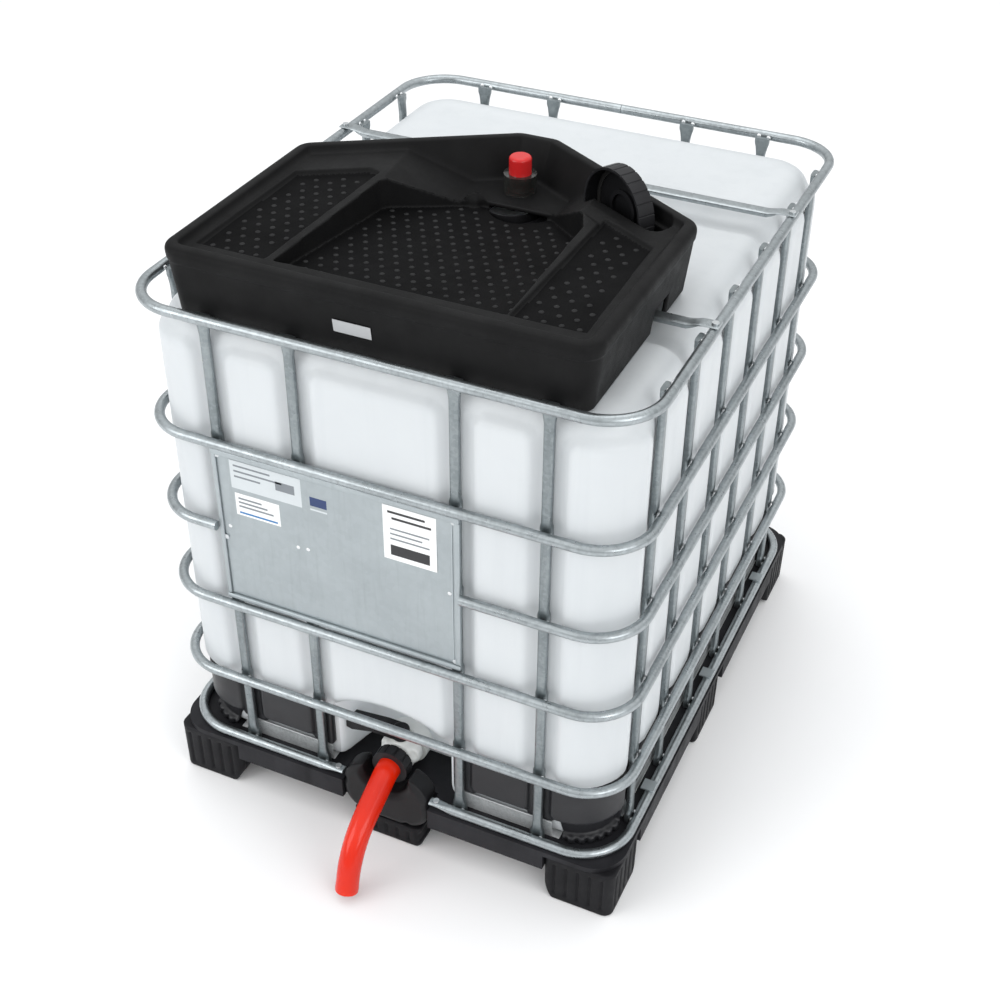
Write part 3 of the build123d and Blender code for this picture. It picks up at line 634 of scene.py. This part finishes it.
for pts, px, py, mar, hz in ((LSHELF, 29.0, 27.0, 13, None), (RSHELF, 31.0, 28.5, 13, None), (MID, 30.0, 28.0, 14, "m")):
    x0, x1 = min(p[0] for p in pts), max(p[0] for p in pts)
    y0, y1 = min(p[1] for p in pts), max(p[1] for p in pts)
    row = 0
    y = y0 + mar + 4
    while y < y1:
        x = x0 + mar + 3 + (px / 2 if row % 2 else 0)
        while x < x1:
            if inside((x, y), pts, mar) and not (hz and math.hypot(x - 30, y + 14) < 84) and not (hz and abs(x - 25) < 6):
                z = 1240.0 if not hz else float(mid_floor(np.array(x), np.array(y)))
                dome(x, y, z)
            x += px
        y += py / 1.0 * 0.93
        row += 1
dv = np.vstack(dome_v)
all_v = np.vstack([fv, dv])
me_f = [list(map(int, q)) for q in ff] + [[i + len(fv) for i in q] for q in dome_f]
fc = fv[ff].mean(1)
low = np.minimum.reduce([poly(fc[:, 0], fc[:, 1], q) for q in (LSHELF, MID, RSHELF)])
fn = np.cross(fv[ff[:, 2]] - fv[ff[:, 0]], fv[ff[:, 3]] - fv[ff[:, 1]])
fn /= np.linalg.norm(fn, axis=1)[:, None] + 1e-12
# up-facing faces of the shelves and the middle cavity take the darker copy: painted shade on the floors
fid = np.where((low < 2.0) & (fc[:, 2] > 1150) & (np.abs(fn[:, 2]) > 0.8), 1, 0)
# the drain studs take the lighter copy: a painted highlight on each stud
tray = make("funnel_tray_moulding", all_v, me_f, ["funnel_black", "funnel_floor_shade", "funnel_dots_highlight"], "funnel", ["funnel_tray"],
            ids=np.concatenate([fid, np.full(len(dome_f), 2)]))

# ------------------------------------------------------------------ bottle
UX = (-325.0, -156.0, 156.0, 325.0)
UY = (-445.0, -276.0, -90.0, 90.0, 276.0, 445.0)


def near_upright(x, y):
    nf = np.minimum.reduce([np.abs(x - u) for u in UX]) + np.where(np.abs(y) < 480, 1000.0, 0.0)
    ns = np.minimum.reduce([np.abs(y - u) for u in UY]) + np.where(np.abs(x) < 390, 1000.0, 0.0)
    return np.minimum(nf, ns)


def f_bottle(x, y, z):
    n = near_upright(x, y)
    a = n - 18.0
    b = np.minimum(z - 284.0, 1096.0 - z)
    r = 38.0
    d = r - np.hypot(np.maximum(r - a, 0), np.maximum(r - b, 0))
    bulge = 13.0 * sstep(d / 25.0)
    base = rrect(x, y, 461, 559, 92)
    W = base - bulge + 4.0 * sstep((292 - z) / 8.0) + 9 * sstep((283 - z) / 5.0)
    bar = np.minimum(np.abs(y + 245.0), np.abs(y - 222.0))
    chan = sstep((62.0 - bar) / 40.0)
    edge = sstep((-base - 6.0) / 90.0)
    mid = sstep((210.0 - np.abs(y + 11.5)) / 40.0)
    zt = 1136.0 - 22.0 * chan - 7.0 * mid - 6.0 * edge
    body = smax(W, z - zt, 74.0)
    body = smax(body, 133.5 - z, 20.0)
    neck = np.maximum(np.hypot(x, y) - 75.0, z - 1149.5)
    body = smin(body, np.maximum(neck, 1090 - z), 8)
    arch = np.hypot(x, np.maximum(z - 278.0, 0.0) * 1.94) - 132.0 + np.clip((y + 572.0) * 0.28, 0, 60)
    pocket = smax(arch, y + 455.0, 14.0)
    body = smax(body, -pocket, 16.0)
    out = np.maximum(np.hypot(x, z - 184.0) - 30.0, np.abs(y + 469.0) - 16.0)
    return np.minimum(body, out)


bv, bf = nets(f_bottle, (-484, -582, 127), (484, 582, 1160), 8.0)
bc = bv[bf].mean(1)
# faces of the valve pocket take the lighter, glowing copy: painted light
bid = np.where((np.abs(bc[:, 0]) < 131) & (bc[:, 1] > -556) & (bc[:, 1] < -440) & (bc[:, 2] < 346), 1, 0)
make("bottle_moulding", bv, bf, ["bottle_natural", "bottle_recess_glow"], "container", ["bottle"], ids=bid)


# ------------------------------------------------------------------ base collar
def f_collar(x, y, z):
    n = near_upright(x, y)
    a = n - 19.0
    b = np.minimum(z - 186.0, 284.0 - z)
    r = 17.0
    d = r - np.hypot(np.maximum(r - a, 0), np.maximum(r - b, 0))
    bulge = 7.4 * sstep(d / 9.0)
    near = sstep((33.0 - n) / 9.0)
    base = rrect(x, y, 461.5, 559.5, 94)
    outer = base - bulge + 10.0 * (1 - near) * sstep((187.0 - z) / 9.0)
    corner = sstep((np.abs(x) - 360.0) / 20.0) * sstep((np.abs(y) - 458.0) / 20.0)
    rib = np.abs(np.mod(np.arctan2(np.abs(y) - 455.5, np.abs(x) - 357.5) * 94.0 + 9.0, 18.0) - 9.0)
    outer = outer - corner * (13.0 - 5.0 * sstep((4.5 - rib) / 2.0)) * sstep((151.0 - z) / 5.0)
    o = smax(outer, z - 281.0, 7)
    o = smax(o, (176.0 - 44.4 * corner) - z, 4)
    o = np.maximum(o, -(base + 17.0))
    gap = np.where(y < -300, 137.0 - np.abs(x), -1000.0)
    g2 = smax(gap, gap * 0.7 + (z - 281.0) * 0.7 + 8.0, 6)
    return smax(o, np.where(y < -300, g2, -1000.0), 5)


cv, cf = nets(f_collar, (-476, -574, 127), (476, 574, 286), 4.2)
make("base_collar", cv, cf, "collar_black", "container",
     ["collar_left", "collar_right", "collar_rear", "collar_front_left", "collar_front_right", "collar_corners"])


# ------------------------------------------------------------------ pallet feet
def foot(cx, cy, hx, hy, sx, sy, top=118.0, pitch=25.0):
    def f(x, y, z):
        u, v = x - cx, y - cy
        d = rrect(u, v, hx, hy, 16)
        if sx:
            d = smax(d, sx * u + (0 if sy == 0 else sy * v) - (hx if sy == 0 else (hx + hy) - 10), 12)
        d = d + (top - z) * 0.012
        rim = sstep((z - 14) / 5) * sstep((top - 12 - z) / 5)
        wx = sstep((np.abs(v) - np.abs(u) * hy / hx + 4) / 6)
        gx = np.exp(-((np.mod(u + pitch / 2, pitch) - pitch / 2) / 3.2) ** 2)
        gy = np.exp(-((np.mod(v + pitch / 2, pitch) - pitch / 2) / 3.2) ** 2)
        d = d + 4.2 * rim * (wx * gx + (1 - wx) * gy)
        if sx:
            d = smax(d, (-sx * u - hx + (34 - z) * 0.55) * 0.87, 5)
        if sy:
            d = smax(d, (-sy * v - hy + (34 - z) * 0.55) * 0.87, 5)
        d = smax(d, z - top, 3)
        d = smax(d, 0.4 - z, 5)
        hollow = np.maximum(rrect(u, v, hx - 13, hy - 13, 10), z - 96)
        return np.maximum(d, -hollow)
    return nets(f, (cx - hx - 6, cy - hy - 6, -5), (cx + hx + 6, cy + hy + 6, top + 5), 3.0)


def join(lst):
    vs, fs, n = [], [], 0
    for v, f in lst:
        vs.append(v)
        fs.append(f + n)
        n += len(v)
    return np.vstack(vs), np.vstack(fs)


v, f = join([foot(sx * 424, sy * 524, 74, 74, sx, sy) for sx in (-1, 1) for sy in (-1, 1)])
make("corner_feet", v, f, "pallet_black", "container", ["pallet_corner_feet"])
v, f = join([foot(sx * 424, 0, 74, 74, sx, 0) for sx in (-1, 1)])
make("side_feet", v, f, "pallet_black", "container", ["pallet_side_feet"])
v, f = foot(0, -495, 70, 48, 0, 0)


def f_toe(x, y, z):
    d = rrect(x, y + 560.0, 77.0, 37.4, 14)
    rib = np.exp(-((np.mod(x + 12.5, 25.0) - 12.5) / 3.2) ** 2) * sstep((z - 12.0) / 5.0) * sstep((44.0 - z) / 5.0)
    d = d + 3.6 * rib + (54.0 - z) * 0.03
    d = smax(d, z - 54.0, 3)
    d = smax(d, y + 543.4, 2)
    return smax(d, 0.4 - z, 7)


tv, tf = nets(f_toe, (-82, -602, -4), (82, -538, 58), 3.0)
v, f = join([(v, f), (tv, tf)])
make("front_foot", v, f, "pallet_black", "container", ["pallet_front_foot"])
v, f = foot(0, 524, 74, 74, 0, 1)
make("rear_foot", v, f, "pallet_black", "container", ["pallet_rear_foot"])
v, f = foot(0, 0, 74, 74, 0, 0)
make("centre_foot", v, f, "pallet_black", "container", ["pallet_centre_foot"])

# ------------------------------------------------------------------ cage
RZ = {"top": 1148.0, "upper": 891.0, "middle": 699.0, "lower": 510.0, "bottom": 310.0, "base": 140.0}


def loop_points(step=16.0, arc=14):
    """Centreline of a ring with its outward normals, from the rear middle round to the rear middle."""
    hx, hy, R = 488.0, 586.0, 102.0
    p, nrm = [], []

    def line(a, b, n):
        a, b = np.array(a, float), np.array(b, float)
        k = max(2, int(np.linalg.norm(b - a) / step))
        for i in range(k):
            p.append(a + (b - a) * i / k)
            nrm.append(n)

    def bend(c, a0, a1):
        for i in range(arc):
            a = math.radians(a0 + (a1 - a0) * i / arc)
            p.append(np.array(c, float) + R * np.array([math.cos(a), math.sin(a)]))
            nrm.append((math.cos(a), math.sin(a)))

    line((-0.6, hy), (-hx + R, hy), (0, 1))
    bend((-hx + R, hy - R), 90, 180)
    line((-hx, hy - R), (-hx, -hy + R), (-1, 0))
    bend((-hx + R, -hy + R), 180, 270)
    line((-hx + R, -hy), (hx - R, -hy), (0, -1))
    bend((hx - R, -hy + R), 270, 360)
    line((hx, -hy + R), (hx, hy - R), (1, 0))
    bend((hx - R, hy - R), 0, 90)
    line((hx - R, hy), (0.6, hy), (0, 1))
    p.append(np.array([0.6, hy]))
    nrm.append((0, 1))
    return np.array(p), np.array(nrm, float)


LP, LN = loop_points()
TUBE_SEG = 18


def dense_near(a, b, xs, span=26.0, fine=4.0):
    return a


def ring_mesh(z, gap=None, flat_ends=0.0, flatten=0.0):
    P, Nn = LP, LN
    runs = []
    if gap is None:
        runs = [(P, Nn)]
    else:
        front = np.abs(P[:, 1] + 586.0) < 1e-6
        a = [i for i in range(len(P)) if not (front[i] and P[i, 0] > gap[0] - 2)]
        left = [i for i in a if i < len(P) / 2]
        right = [i for i in range(len(P)) if i > len(P) / 2 and not (front[i] and P[i, 0] < gap[1] + 2)]
        left = [i for i in left if not (front[i] and P[i, 0] > gap[0] - 2)]
        pa = np.vstack([P[left], [[gap[0], -586.0]]])
        na = np.vstack([Nn[left], [[0, -1]]])
        pb = np.vstack([[[gap[1], -586.0]], P[right]])
        nb_ = np.vstack([[[0, -1]], Nn[right]])
        runs = [(pa, na), (pb, nb_)]
    out = []
    for pts, nn in runs:
        if flat_ends:
            # refine the last stretch at the gap end so the crushed end is smooth
            end_is_last = abs(pts[-1][1] + 586.0) < 1e-6
            e = pts[-1] if end_is_last else pts[0]
            other = 1.0 if end_is_last else -1.0
            new = [e + np.array([-other * t, 0.0]) for t in (0, 6, 12, 18, 24, 32, 40, 50, 62)]
            keep = [i for i in range(len(pts)) if np.linalg.norm(pts[i] - e) > 70]
            if end_is_last:
                pts2 = np.vstack([pts[keep], new[::-1]])
                nn2 = np.vstack([nn[keep], [[0, -1]] * len(new)])
            else:
                pts2 = np.vstack([new, pts[keep]])
                nn2 = np.vstack([[[0, -1]] * len(new), nn[keep]])
            pts, nn = pts2, nn2
        rings = []
        for p, n in zip(pts, nn):
            rw = rh = 10.0
            dz = 0.0
            if flat_ends:
                e = pts[-1] if abs(pts[-1][1] + 586.0) < 1e-6 else pts[0]
                t = np.linalg.norm(p - e)
                k = float(sstep(np.array((55.0 - t) / 45.0)))
                rh = 10.0 - 5.6 * k
                rw = 10.0 + 0.0 * k
                dz = (5.2 * k)
            ux = min(abs(p[0] - u) for u in UX) if abs(n[1]) > 0.99 else 1e3
            uy = min(abs(p[1] - u) for u in UY) if abs(n[0]) > 0.99 else 1e3
            dent = float(sstep(np.array((24.0 - min(ux, uy)) / 14.0)))
            sec = []
            for j in range(TUBE_SEG):
                a = 2 * math.pi * j / TUBE_SEG
                c, s = math.cos(a), math.sin(a)
                w = rw * (1 - (0.16 * dent if c < 0 else 0.0))
                x, y = p + n * (c * w)
                zz = z + dz + s * rh
                if dz and k_wave(p, j):
                    zz += 0.0
                sec.append((x, y, zz))
            rings.append(np.array(sec))
        out.append(sweep(pts, rings))
    return out


def k_wave(p, j):
    return False


def cage_piece(name, z, node, gap=None, flat_ends=0.0):
    pa = Parts()
    for v, f in ring_mesh(z, gap, flat_ends):
        f = [q[::-1] for q in f]
        pa.add(v, f)
    v, f = pa.out()
    return make(name, v, f, "galvanised_tube", "container", [node], auto=40)


cage_piece("ring_top", RZ["top"], "cage_ring_top")
cage_piece("ring_upper", RZ["upper"], "cage_ring_upper")
cage_piece("ring_middle", RZ["middle"], "cage_ring_middle", (-338.0, 170.0))
cage_piece("ring_lower", RZ["lower"], "cage_ring_lower")
cage_piece("ring_bottom", RZ["bottom"], "cage_ring_bottom")
cage_piece("ring_base", RZ["base"], "cage_ring_base", (-99.0, 99.0), 1.0)

ZS = sorted(RZ.values())


def upright(px, py, n):
    """One flattened upright: its section, squeezed at every ring, spread at its feet and at its top."""
    t = np.array([-n[1], n[0]], float)
    n = np.array(n, float)
    c = np.array([px, py], float)
    zs = [131.6]
    z = 131.6
    while z < 1148.0:
        near = min(abs(z - r) for r in ZS)
        z += 3.5 if near < 24 else 10.0
        zs.append(min(z, 1148.0))
    rings = []
    for z in zs:
        near = min(abs(z - r) for r in ZS)
        k = float(sstep(np.array((21.0 - near) / 12.0)))
        base = float(sstep(np.array((185.0 - z) / 45.0)))
        topk = float(sstep(np.array((z - 1105.0) / 30.0)))
        w = 9.6 + 2.2 * k + 3.6 * base + 4.2 * topk
        din = 7.5
        dout = 7.5 - 1.0 * k
        depth_scale = 1.0 - 0.45 * topk
        m = 14
        sec = []
        for j in range(m):
            a = 2 * math.pi * j / m
            ca, sa = math.cos(a), math.sin(a)
            e = 0.62
            uu = math.copysign(abs(ca) ** e, ca) * w
            vv = math.copysign(abs(sa) ** (0.8 if k < 0.5 else 0.55), sa)
            vv = vv * (dout if vv > 0 else din * depth_scale)
            # a pressed groove down the outer face between the rings
            if vv > 0:
                vv -= 1.9 * (1 - k) * math.exp(-(uu / (w * 0.42)) ** 2)
            if z > 1105:
                vv += 0.0
            q = c + t * uu + n * vv
            sec.append((q[0], q[1], z))
        rings.append(np.array(sec))
    return sweep(None, rings)


def beads(pa, px, py, n):
    t = np.array([-n[1], n[0]], float)
    n = np.array(n, float)
    for z in ZS:
        for s in (-1, 1):
            q = np.array([px, py], float) + t * s * 10.5 + n * 8.2
            r = (4.6, 2.6, 4.2) if abs(n[1]) > 0.5 else (2.6, 4.6, 4.2)
            v, f = blob((q[0], q[1], z + (0.8 if s > 0 else -0.9)), r, 8, 5)
            pa.add(v, f, 1)


def uprights(name, lst, n, node):
    pa = Parts()
    for px, py in lst:
        v, f = upright(px, py, n)
        pa.add(v, f)
        beads(pa, px, py, n)
    v, f = pa.out()
    o = make(name, v, f, ["galvanised_upright_shade", "weld_glint"], "container", [node], ids=pa.m, auto=45)
    return o


uprights("uprights_front", [(u, -568.5) for u in UX], (0, -1), "front_uprights")
uprights("uprights_rear", [(u, 568.5) for u in UX], (0, 1), "rear_uprights")
uprights("uprights_left", [(-470.5, u) for u in UY], (-1, 0), "left_uprights")
uprights("uprights_right", [(470.5, u) for u in UY], (1, 0), "right_uprights")


# ------------------------------------------------------------------ cross bars over the bottle
def cross_bar(name, y0, node):
    xs = np.concatenate([[-497, -490, -482, -476, -470, -462, -452, -440, -420], np.arange(-400, 401, 25.0), [420, 440, 452, 462, 470, 476, 482, 490, 497]])
    rings = []
    for x in xs:
        e = abs(x)
        k = float(sstep(np.array((e - 440) / 28.0)))
        w = 14.0 + 0.0 * k
        h = 6.0 * (1 - k) + 1.6 * k
        zc = 1151.0 * (1 - k) + 1159.4 * k
        sec = []
        m = 14
        for j in range(m):
            a = 2 * math.pi * j / m
            ca, sa = math.cos(a), math.sin(a)
            uu = math.copysign(abs(ca) ** 0.55, ca) * w
            vv = math.copysign(abs(sa) ** 0.6, sa) * h
            if vv > 0:
                vv -= 1.6 * (1 - k) * math.exp(-(uu / 6.0) ** 2)
            sec.append((x, y0 + uu, zc + vv))
        rings.append(np.array(sec))
    v, f = sweep(None, rings)
    return make(name, v, f, "galvanised_tube", "container", [node], auto=40)


cross_bar("bar_front", -245.0, "cross_bar_front")
cross_bar("bar_rear", 222.0, "cross_bar_rear")

# ------------------------------------------------------------------ label plate and its stickers
PY = -577.2
pa = Parts()
xs = np.linspace(-336, 168, 37)
zs = np.linspace(523, 876, 27)
v = []
for side in (0, 1):
    for z in zs:
        for x in xs:
            w = 0.35 * math.sin(x * 0.013 + z * 0.008) + 0.25 * math.sin(z * 0.021 - x * 0.006)
            edge = min(x + 336, 168 - x, z - 523, 876 - z)
            w *= min(1.0, edge / 40.0)
            v.append((x, PY + w + (0.0 if side == 0 else 1.2), z))
nx, nz = len(xs), len(zs)
f = []
for i in range(nz - 1):
    for j in range(nx - 1):
        a = i * nx + j
        f.append([a, a + 1, a + nx + 1, a + nx])
        b = a + nx * nz
        f.append([b, b + nx, b + nx + 1, b + 1])
K = nx * nz
for j in range(nx - 1):
    f.append([j, j + K, j + 1 + K, j + 1])
    a = (nz - 1) * nx + j
    f.append([a, a + 1, a + 1 + K, a + K])
for i in range(nz - 1):
    a = i * nx
    f.append([a, a + nx, a + nx + K, a + K])
    a = i * nx + nx - 1
    f.append([a, a + K, a + nx + K, a + nx])
pa.add(v, f)
# rolled hems: top, bottom and sides stand out of the face
for (x0, x1, z0, z1, d) in ((-336, 168, 864, 876, 8.4), (-336, 168, 523, 533, 7.4), (-336, -327, 534, 863, 5.4), (157, 168, 534, 863, 5.4)):
    bvv, bff = box(x0, x1, PY - d * 0.85, PY - 0.2, z0, z1, 1.9, 3)
    pa.add(bvv, bff)
# a shallow pressed rib inside the right hem
bvv, bff = box(150.5, 153.0, PY - 1.2, PY + 0.1, 536, 861, 0.5, 1)
pa.add(bvv, bff)
v, f = pa.out()
make("label_sheet", v, f, "galvanised_sheet", "container", ["label_plate"], auto=35)


def sticker_set():
    pa = Parts()
    y1 = PY - 0.25

    def flat(x0, x1, z0, z1, mat, t=0.35, lift=0.0):
        v, f = box(x0, x1, y1 - t - lift, y1 + 0.2 - lift, z0, z1, 0.12, 1)
        pa.add(v, f, mat)

    # grey info strip with plain bars
    flat(-300, -150, 795, 858, 4)
    for i, (a, b) in enumerate(((-292, -214), (-292, -190), (-292, -236))):
        flat(a, b, 845 - i * 12, 849 - i * 12, 3, 0.3, 0.25)
    flat(-204, -164, 818, 838, 3, 0.3, 0.25)
    # pale label with plain bars
    flat(-295, -200, 735, 785, 0)
    for i in range(3):
        flat(-288, -214 - 12 * i, 754 + i * 9, 758 + i * 9, 3, 0.3, 0.25)
    flat(-288, -206, 739.5, 743.5, 2, 0.3, 0.25)
    # white label with plain bars
    flat(16, 122, 738, 858, 0)
    for i, (a, b) in enumerate(((26, 100), (34, 112))):
        flat(a, b, 842 - i * 13, 847 - i * 13, 1, 0.3, 0.25)
    for i in range(3):
        flat(30, 108 - 14 * (i % 2), 806 - i * 11, 809.5 - i * 11, 3, 0.3, 0.25)
    flat(30, 108, 749, 772, 1, 0.3, 0.25)
    # small blue block with a grey strip under it
    flat(-133, -98, 806, 826, 5)
    flat(-133, -98, 796, 800, 4)
    v, f = pa.out()
    make("label_prints", v, f, ["sticker_white", "ink_black", "ink_blue", "ink_grey", "label_grey", "ink_navy"], "container",
         ["label_stickers"], smooth=False, ids=pa.m)


sticker_set()

# ------------------------------------------------------------------ galvanised tray under the bottle
pa = Parts()


def tray_strip(p0, p1, n, z0=131.0, z1=171.5):
    """A thin upturned edge with a rolled lip and shallow pressed dimples."""
    p0, p1, n = np.array(p0, float), np.array(p1, float), np.array(n, float)
    L_ = np.linalg.norm(p1 - p0)
    d = (p1 - p0) / L_
    k = max(4, int(L_ / 9))
    prof = [(0.0, z0), (0.25, (z0 + z1) / 2 - 8), (0.25, (z0 + z1) / 2 + 8), (0.1, z1 - 3.5), (1.0, z1 - 1.0), (1.5, z1), (1.0, z1 + 0.9), (-0.2, z1 + 0.9),
            (-1.0, z1 - 2.0), (-1.0, z0)]
    rings_ = []
    for i in range(k + 1):
        s_ = L_ * i / k
        dim = 0.9 * math.exp(-((s_ % 46.0 - 23.0) / 6.0) ** 2)
        sec = []
        for j, (o_, z_) in enumerate(prof):
            oo = o_ - (dim if j in (1, 2) else 0.0)
            q = p0 + d * s_ + n * oo
            sec.append((q[0], q[1], z_))
        rings_.append(np.array(sec))
    return sweep(None, rings_)


for p0, p1, n in (((-141, -556.2), (-350, -556.2), (0, -1)), ((350, -556.2), (141, -556.2), (0, -1)), ((-350, 556.2), (350, 556.2), (0, 1)),
                  ((458.3, -440), (458.3, 440), (1, 0)), ((-458.3, 440), (-458.3, -440), (-1, 0))):
    v, f = tray_strip(p0, p1, n)
    pa.add(v, f)
for b_ in ((-459, 459, -448, 452, 130.0, 130.8), (-366, 366, 452, 555, 130.0, 130.8), (-366, -140, -555, -448, 130.0, 130.8), (140, 366, -555, -448, 130.0, 130.8)):
    v, f = box(*b_, 0.2, 1)
    pa.add(v, f)
v, f = pa.out()
make("base_tray", v, f, "tray_zinc", "container", ["base_sheet"], auto=40)


# ------------------------------------------------------------------ valve cup
def f_cup(x, y, z):
    d = rrect(x, z - 122.5, 96.5, 67.0, 58.0)
    lobe = 6.0 * np.exp(-((np.abs(x) - 46.0) / 8.0) ** 2) * sstep((112.0 - z) / 16.0)
    side = 4.0 * np.exp(-((z - 134.0) / 9.0) ** 2) * sstep((np.abs(x) - 80.0) / 8.0)
    d = d + lobe + side + 5.0 * sstep((-592.0 - y) / 8.0)
    d = smax(d, np.abs(y + 574.5) - 25.2, 10)
    trough = rrect(x, z - 234.0, 50.5, 100.0, 50.0)
    trough = trough + 0.0 * y
    front = rrect(x, z - 234.0, 56.0, 106.0, 55.0) + np.clip(y + 596.0, -4, 40) * 1.2
    return smax(smax(d, -trough, 5), -front, 5)


v, f = nets(f_cup, (-103, -606, 48), (103, -542, 196), 2.6)
make("valve_shroud", v, f, "moulded_black", "container", ["valve_cup"])


# ------------------------------------------------------------------ valve body
def f_valve(x, y, z):
    r = np.hypot(x, z - 184.0)
    ang = np.arctan2(z - 184.0, x)
    barrel = smax(r - 36.0 - 2.2 * np.cos(8 * ang), np.abs(y + 518.0) - 22.5, 8)
    neck = smax(r - 29.5, np.abs(y + 520.0) - 35.8, 2)
    flange = smax(r - 41.0, np.abs(y + 490.4) - 3.5, 2)
    tower = smax(np.hypot(x, y + 518.0) - 17.0, np.abs(z - 202.0) - 20.8, 5)
    boss = smax(np.hypot(x, y + 518.0) - 13.0, np.abs(z - 160.0) - 18.0, 5)
    ears = smax(rrect(x, z - 190.0, 43.0, 20.0, 14.0), np.abs(y + 518.0) - 11.0, 6)
    d = smin(smin(barrel, tower, 10), smin(boss, ears, 10), 8)
    d = smax(d, z - 222.6, 4)
    d = np.minimum(np.minimum(d, neck), flange)
    d = np.maximum(d, -(r - 25.6))
    return np.maximum(d, -np.maximum(np.hypot(x, y + 518.0) - 5.4, 148.5 - z))


v, f = nets(f_valve, (-48, -560, 136), (48, -483, 230), 1.9)
make("valve_housing", v, f, "valve_natural", "container", ["valve_body"])

M["badge_grey"] = paper("badge_grey", (0.42, 0.43, 0.44))
for s in N["funnel_badge"].material_slots:
    s.material = M["badge_grey"]
for s in N["valve_flange_nut"].material_slots:
    s.material = M["valve_natural"]

# ------------------------------------------------------------------ pouring spout
route = [(-557.9, 184.0), (-586.0, 184.0), (-735.0, 118.0), (-765.0, 20.0)]
radii = [0, 60.0, 150.0, 0]


def rounded_route(pts, radii, arc=20):
    out = []
    pts = [np.array(p, float) for p in pts]
    for i, p in enumerate(pts):
        if i in (0, len(pts) - 1):
            out.append(p)
            continue
        a = (pts[i - 1] - p) / np.linalg.norm(pts[i - 1] - p)
        b = (pts[i + 1] - p) / np.linalg.norm(pts[i + 1] - p)
        half = math.acos(float(np.clip(a @ b, -1, 1))) / 2
        d = radii[i] / math.tan(half)
        c = p + (a + b) / np.linalg.norm(a + b) * radii[i] / math.sin(half)
        s, e = p + a * d, p + b * d
        a0 = math.atan2(*(s - c)[::-1])
        a1 = math.atan2(*(e - c)[::-1])
        da = (a1 - a0 + math.pi) % (2 * math.pi) - math.pi
        for k in range(arc + 1):
            t = a0 + da * k / arc
            out.append(c + radii[i] * np.array([math.cos(t), math.sin(t)]))
    res = [out[0]]
    for q in out[1:]:
        L = np.linalg.norm(q - res[-1])
        m = int(L // 9)
        base = res[-1]
        for k in range(1, m + 1):
            res.append(base + (q - base) * k / (m + 1))
        res.append(q)
    return np.array(res)


RT = rounded_route(route, radii)
L = np.concatenate([[0], np.cumsum(np.linalg.norm(np.diff(RT, axis=0), axis=1))])
SEG = 36
outer, inner = [], []
for i, p in enumerate(RT):
    t = RT[min(i + 1, len(RT) - 1)] - RT[max(i - 1, 0)]
    t /= np.linalg.norm(t)
    nrm = np.array([-t[1], t[0]])
    s = L[i] / L[-1]
    r = 25.0 - 1.6 * s
    if L[i] < 14:
        r = 25.0 + 3.4 * float(sstep(np.array((14 - L[i]) / 10.0)))
    end = L[-1] - L[i]
    if end < 10:
        r += 0.9 * math.sin(min(1.0, (10 - end) / 7.0) * math.pi)
    for lst, rr in ((outer, r), (inner, r - 3.2)):
        lst.append(np.array([(rr * math.cos(a), p[0] + nrm[0] * rr * math.sin(a), p[1] + nrm[1] * rr * math.sin(a))
                             for a in 2 * math.pi * np.arange(SEG) / SEG]))
rings = outer + inner[::-1] + [outer[0]]
k = SEG
V = np.vstack(outer + inner[::-1])
F = []
nr = 2 * len(RT)
for i in range(nr):
    for j in range(k):
        l = (j + 1) % k
        a, b = i * k, ((i + 1) % nr) * k
        F.append([a + j, b + j, b + l, a + l])
make("spout_tube", V, F, "spout_orange", "spout", ["pouring_spout"], auto=50)

# ------------------------------------------------------------------ floor, light, world
def floor_mat():
    m = Mat("studio_floor")
    c = m.mix(m.ramp(m.noise(1.5, 3.0, 0.5), (0.3, 0.0), (0.7, 1.0)), (0.925, 0.925, 0.93), (0.945, 0.945, 0.95))
    m.color(c)
    m.rough(m.ramp(m.noise(12.0, 3.0, 0.5), (0.3, 0.6), (0.7, 0.7)))
    m.set(Specular_IOR_Level=0.1)
    return m.m


me = bpy.data.meshes.new("floor")
me.from_pydata([(-14, -14, -0.0006), (14, -14, -0.0006), (14, 14, -0.0006), (-14, 14, -0.0006)], [], [(0, 1, 2, 3)])
me.materials.append(floor_mat())
fl = bpy.data.objects.new("floor", me)
bpy.context.scene.collection.objects.link(fl)

w = bpy.data.worlds.new("studio")
bpy.context.scene.world = w
w.use_nodes = True
bg = w.node_tree.nodes["Background"]
tc = w.node_tree.nodes.new("ShaderNodeTexCoord")
sx = w.node_tree.nodes.new("ShaderNodeSeparateXYZ")
rp = w.node_tree.nodes.new("ShaderNodeValToRGB")
w.node_tree.links.new(tc.outputs["Generated"], sx.inputs[0])
w.node_tree.links.new(sx.outputs[2], rp.inputs[0])
w.node_tree.links.new(rp.outputs[0], bg.inputs[0])
stops = ((0.0, (0.47, 0.48, 0.49)), (0.25, (0.56, 0.57, 0.575)), (0.6, (0.80, 0.81, 0.815)), (1.0, (0.99, 0.995, 1.0)))
while len(rp.color_ramp.elements) < len(stops):
    rp.color_ramp.elements.new(0.5)
for e, (q, c) in zip(rp.color_ramp.elements, stops):
    e.position, e.color = q, (*c, 1)
bg.inputs[1].default_value = 1.27


def area(name, loc, target, size, power, color=(1, 1, 1)):
    d = bpy.data.lights.new(name, "AREA")
    d.shape = "RECTANGLE"
    d.size, d.size_y = size
    d.energy = power
    d.color = color
    o = bpy.data.objects.new(name, d)
    bpy.context.scene.collection.objects.link(o)
    o.location = loc
    o.rotation_euler = (Vector(target) - Vector(loc)).to_track_quat("-Z", "Y").to_euler()
    return o


area("key", (-3.0, -3.8, 2.7), (0, -0.2, 0.6), (3.0, 3.0), 74)
area("top", (-0.6, 0.6, 4.6), (0, 0, 0.8), (3.0, 3.0), 32)
area("fill", (3.9, -2.4, 2.6), (0, 0, 0.5), (3.0, 2.4), 56)
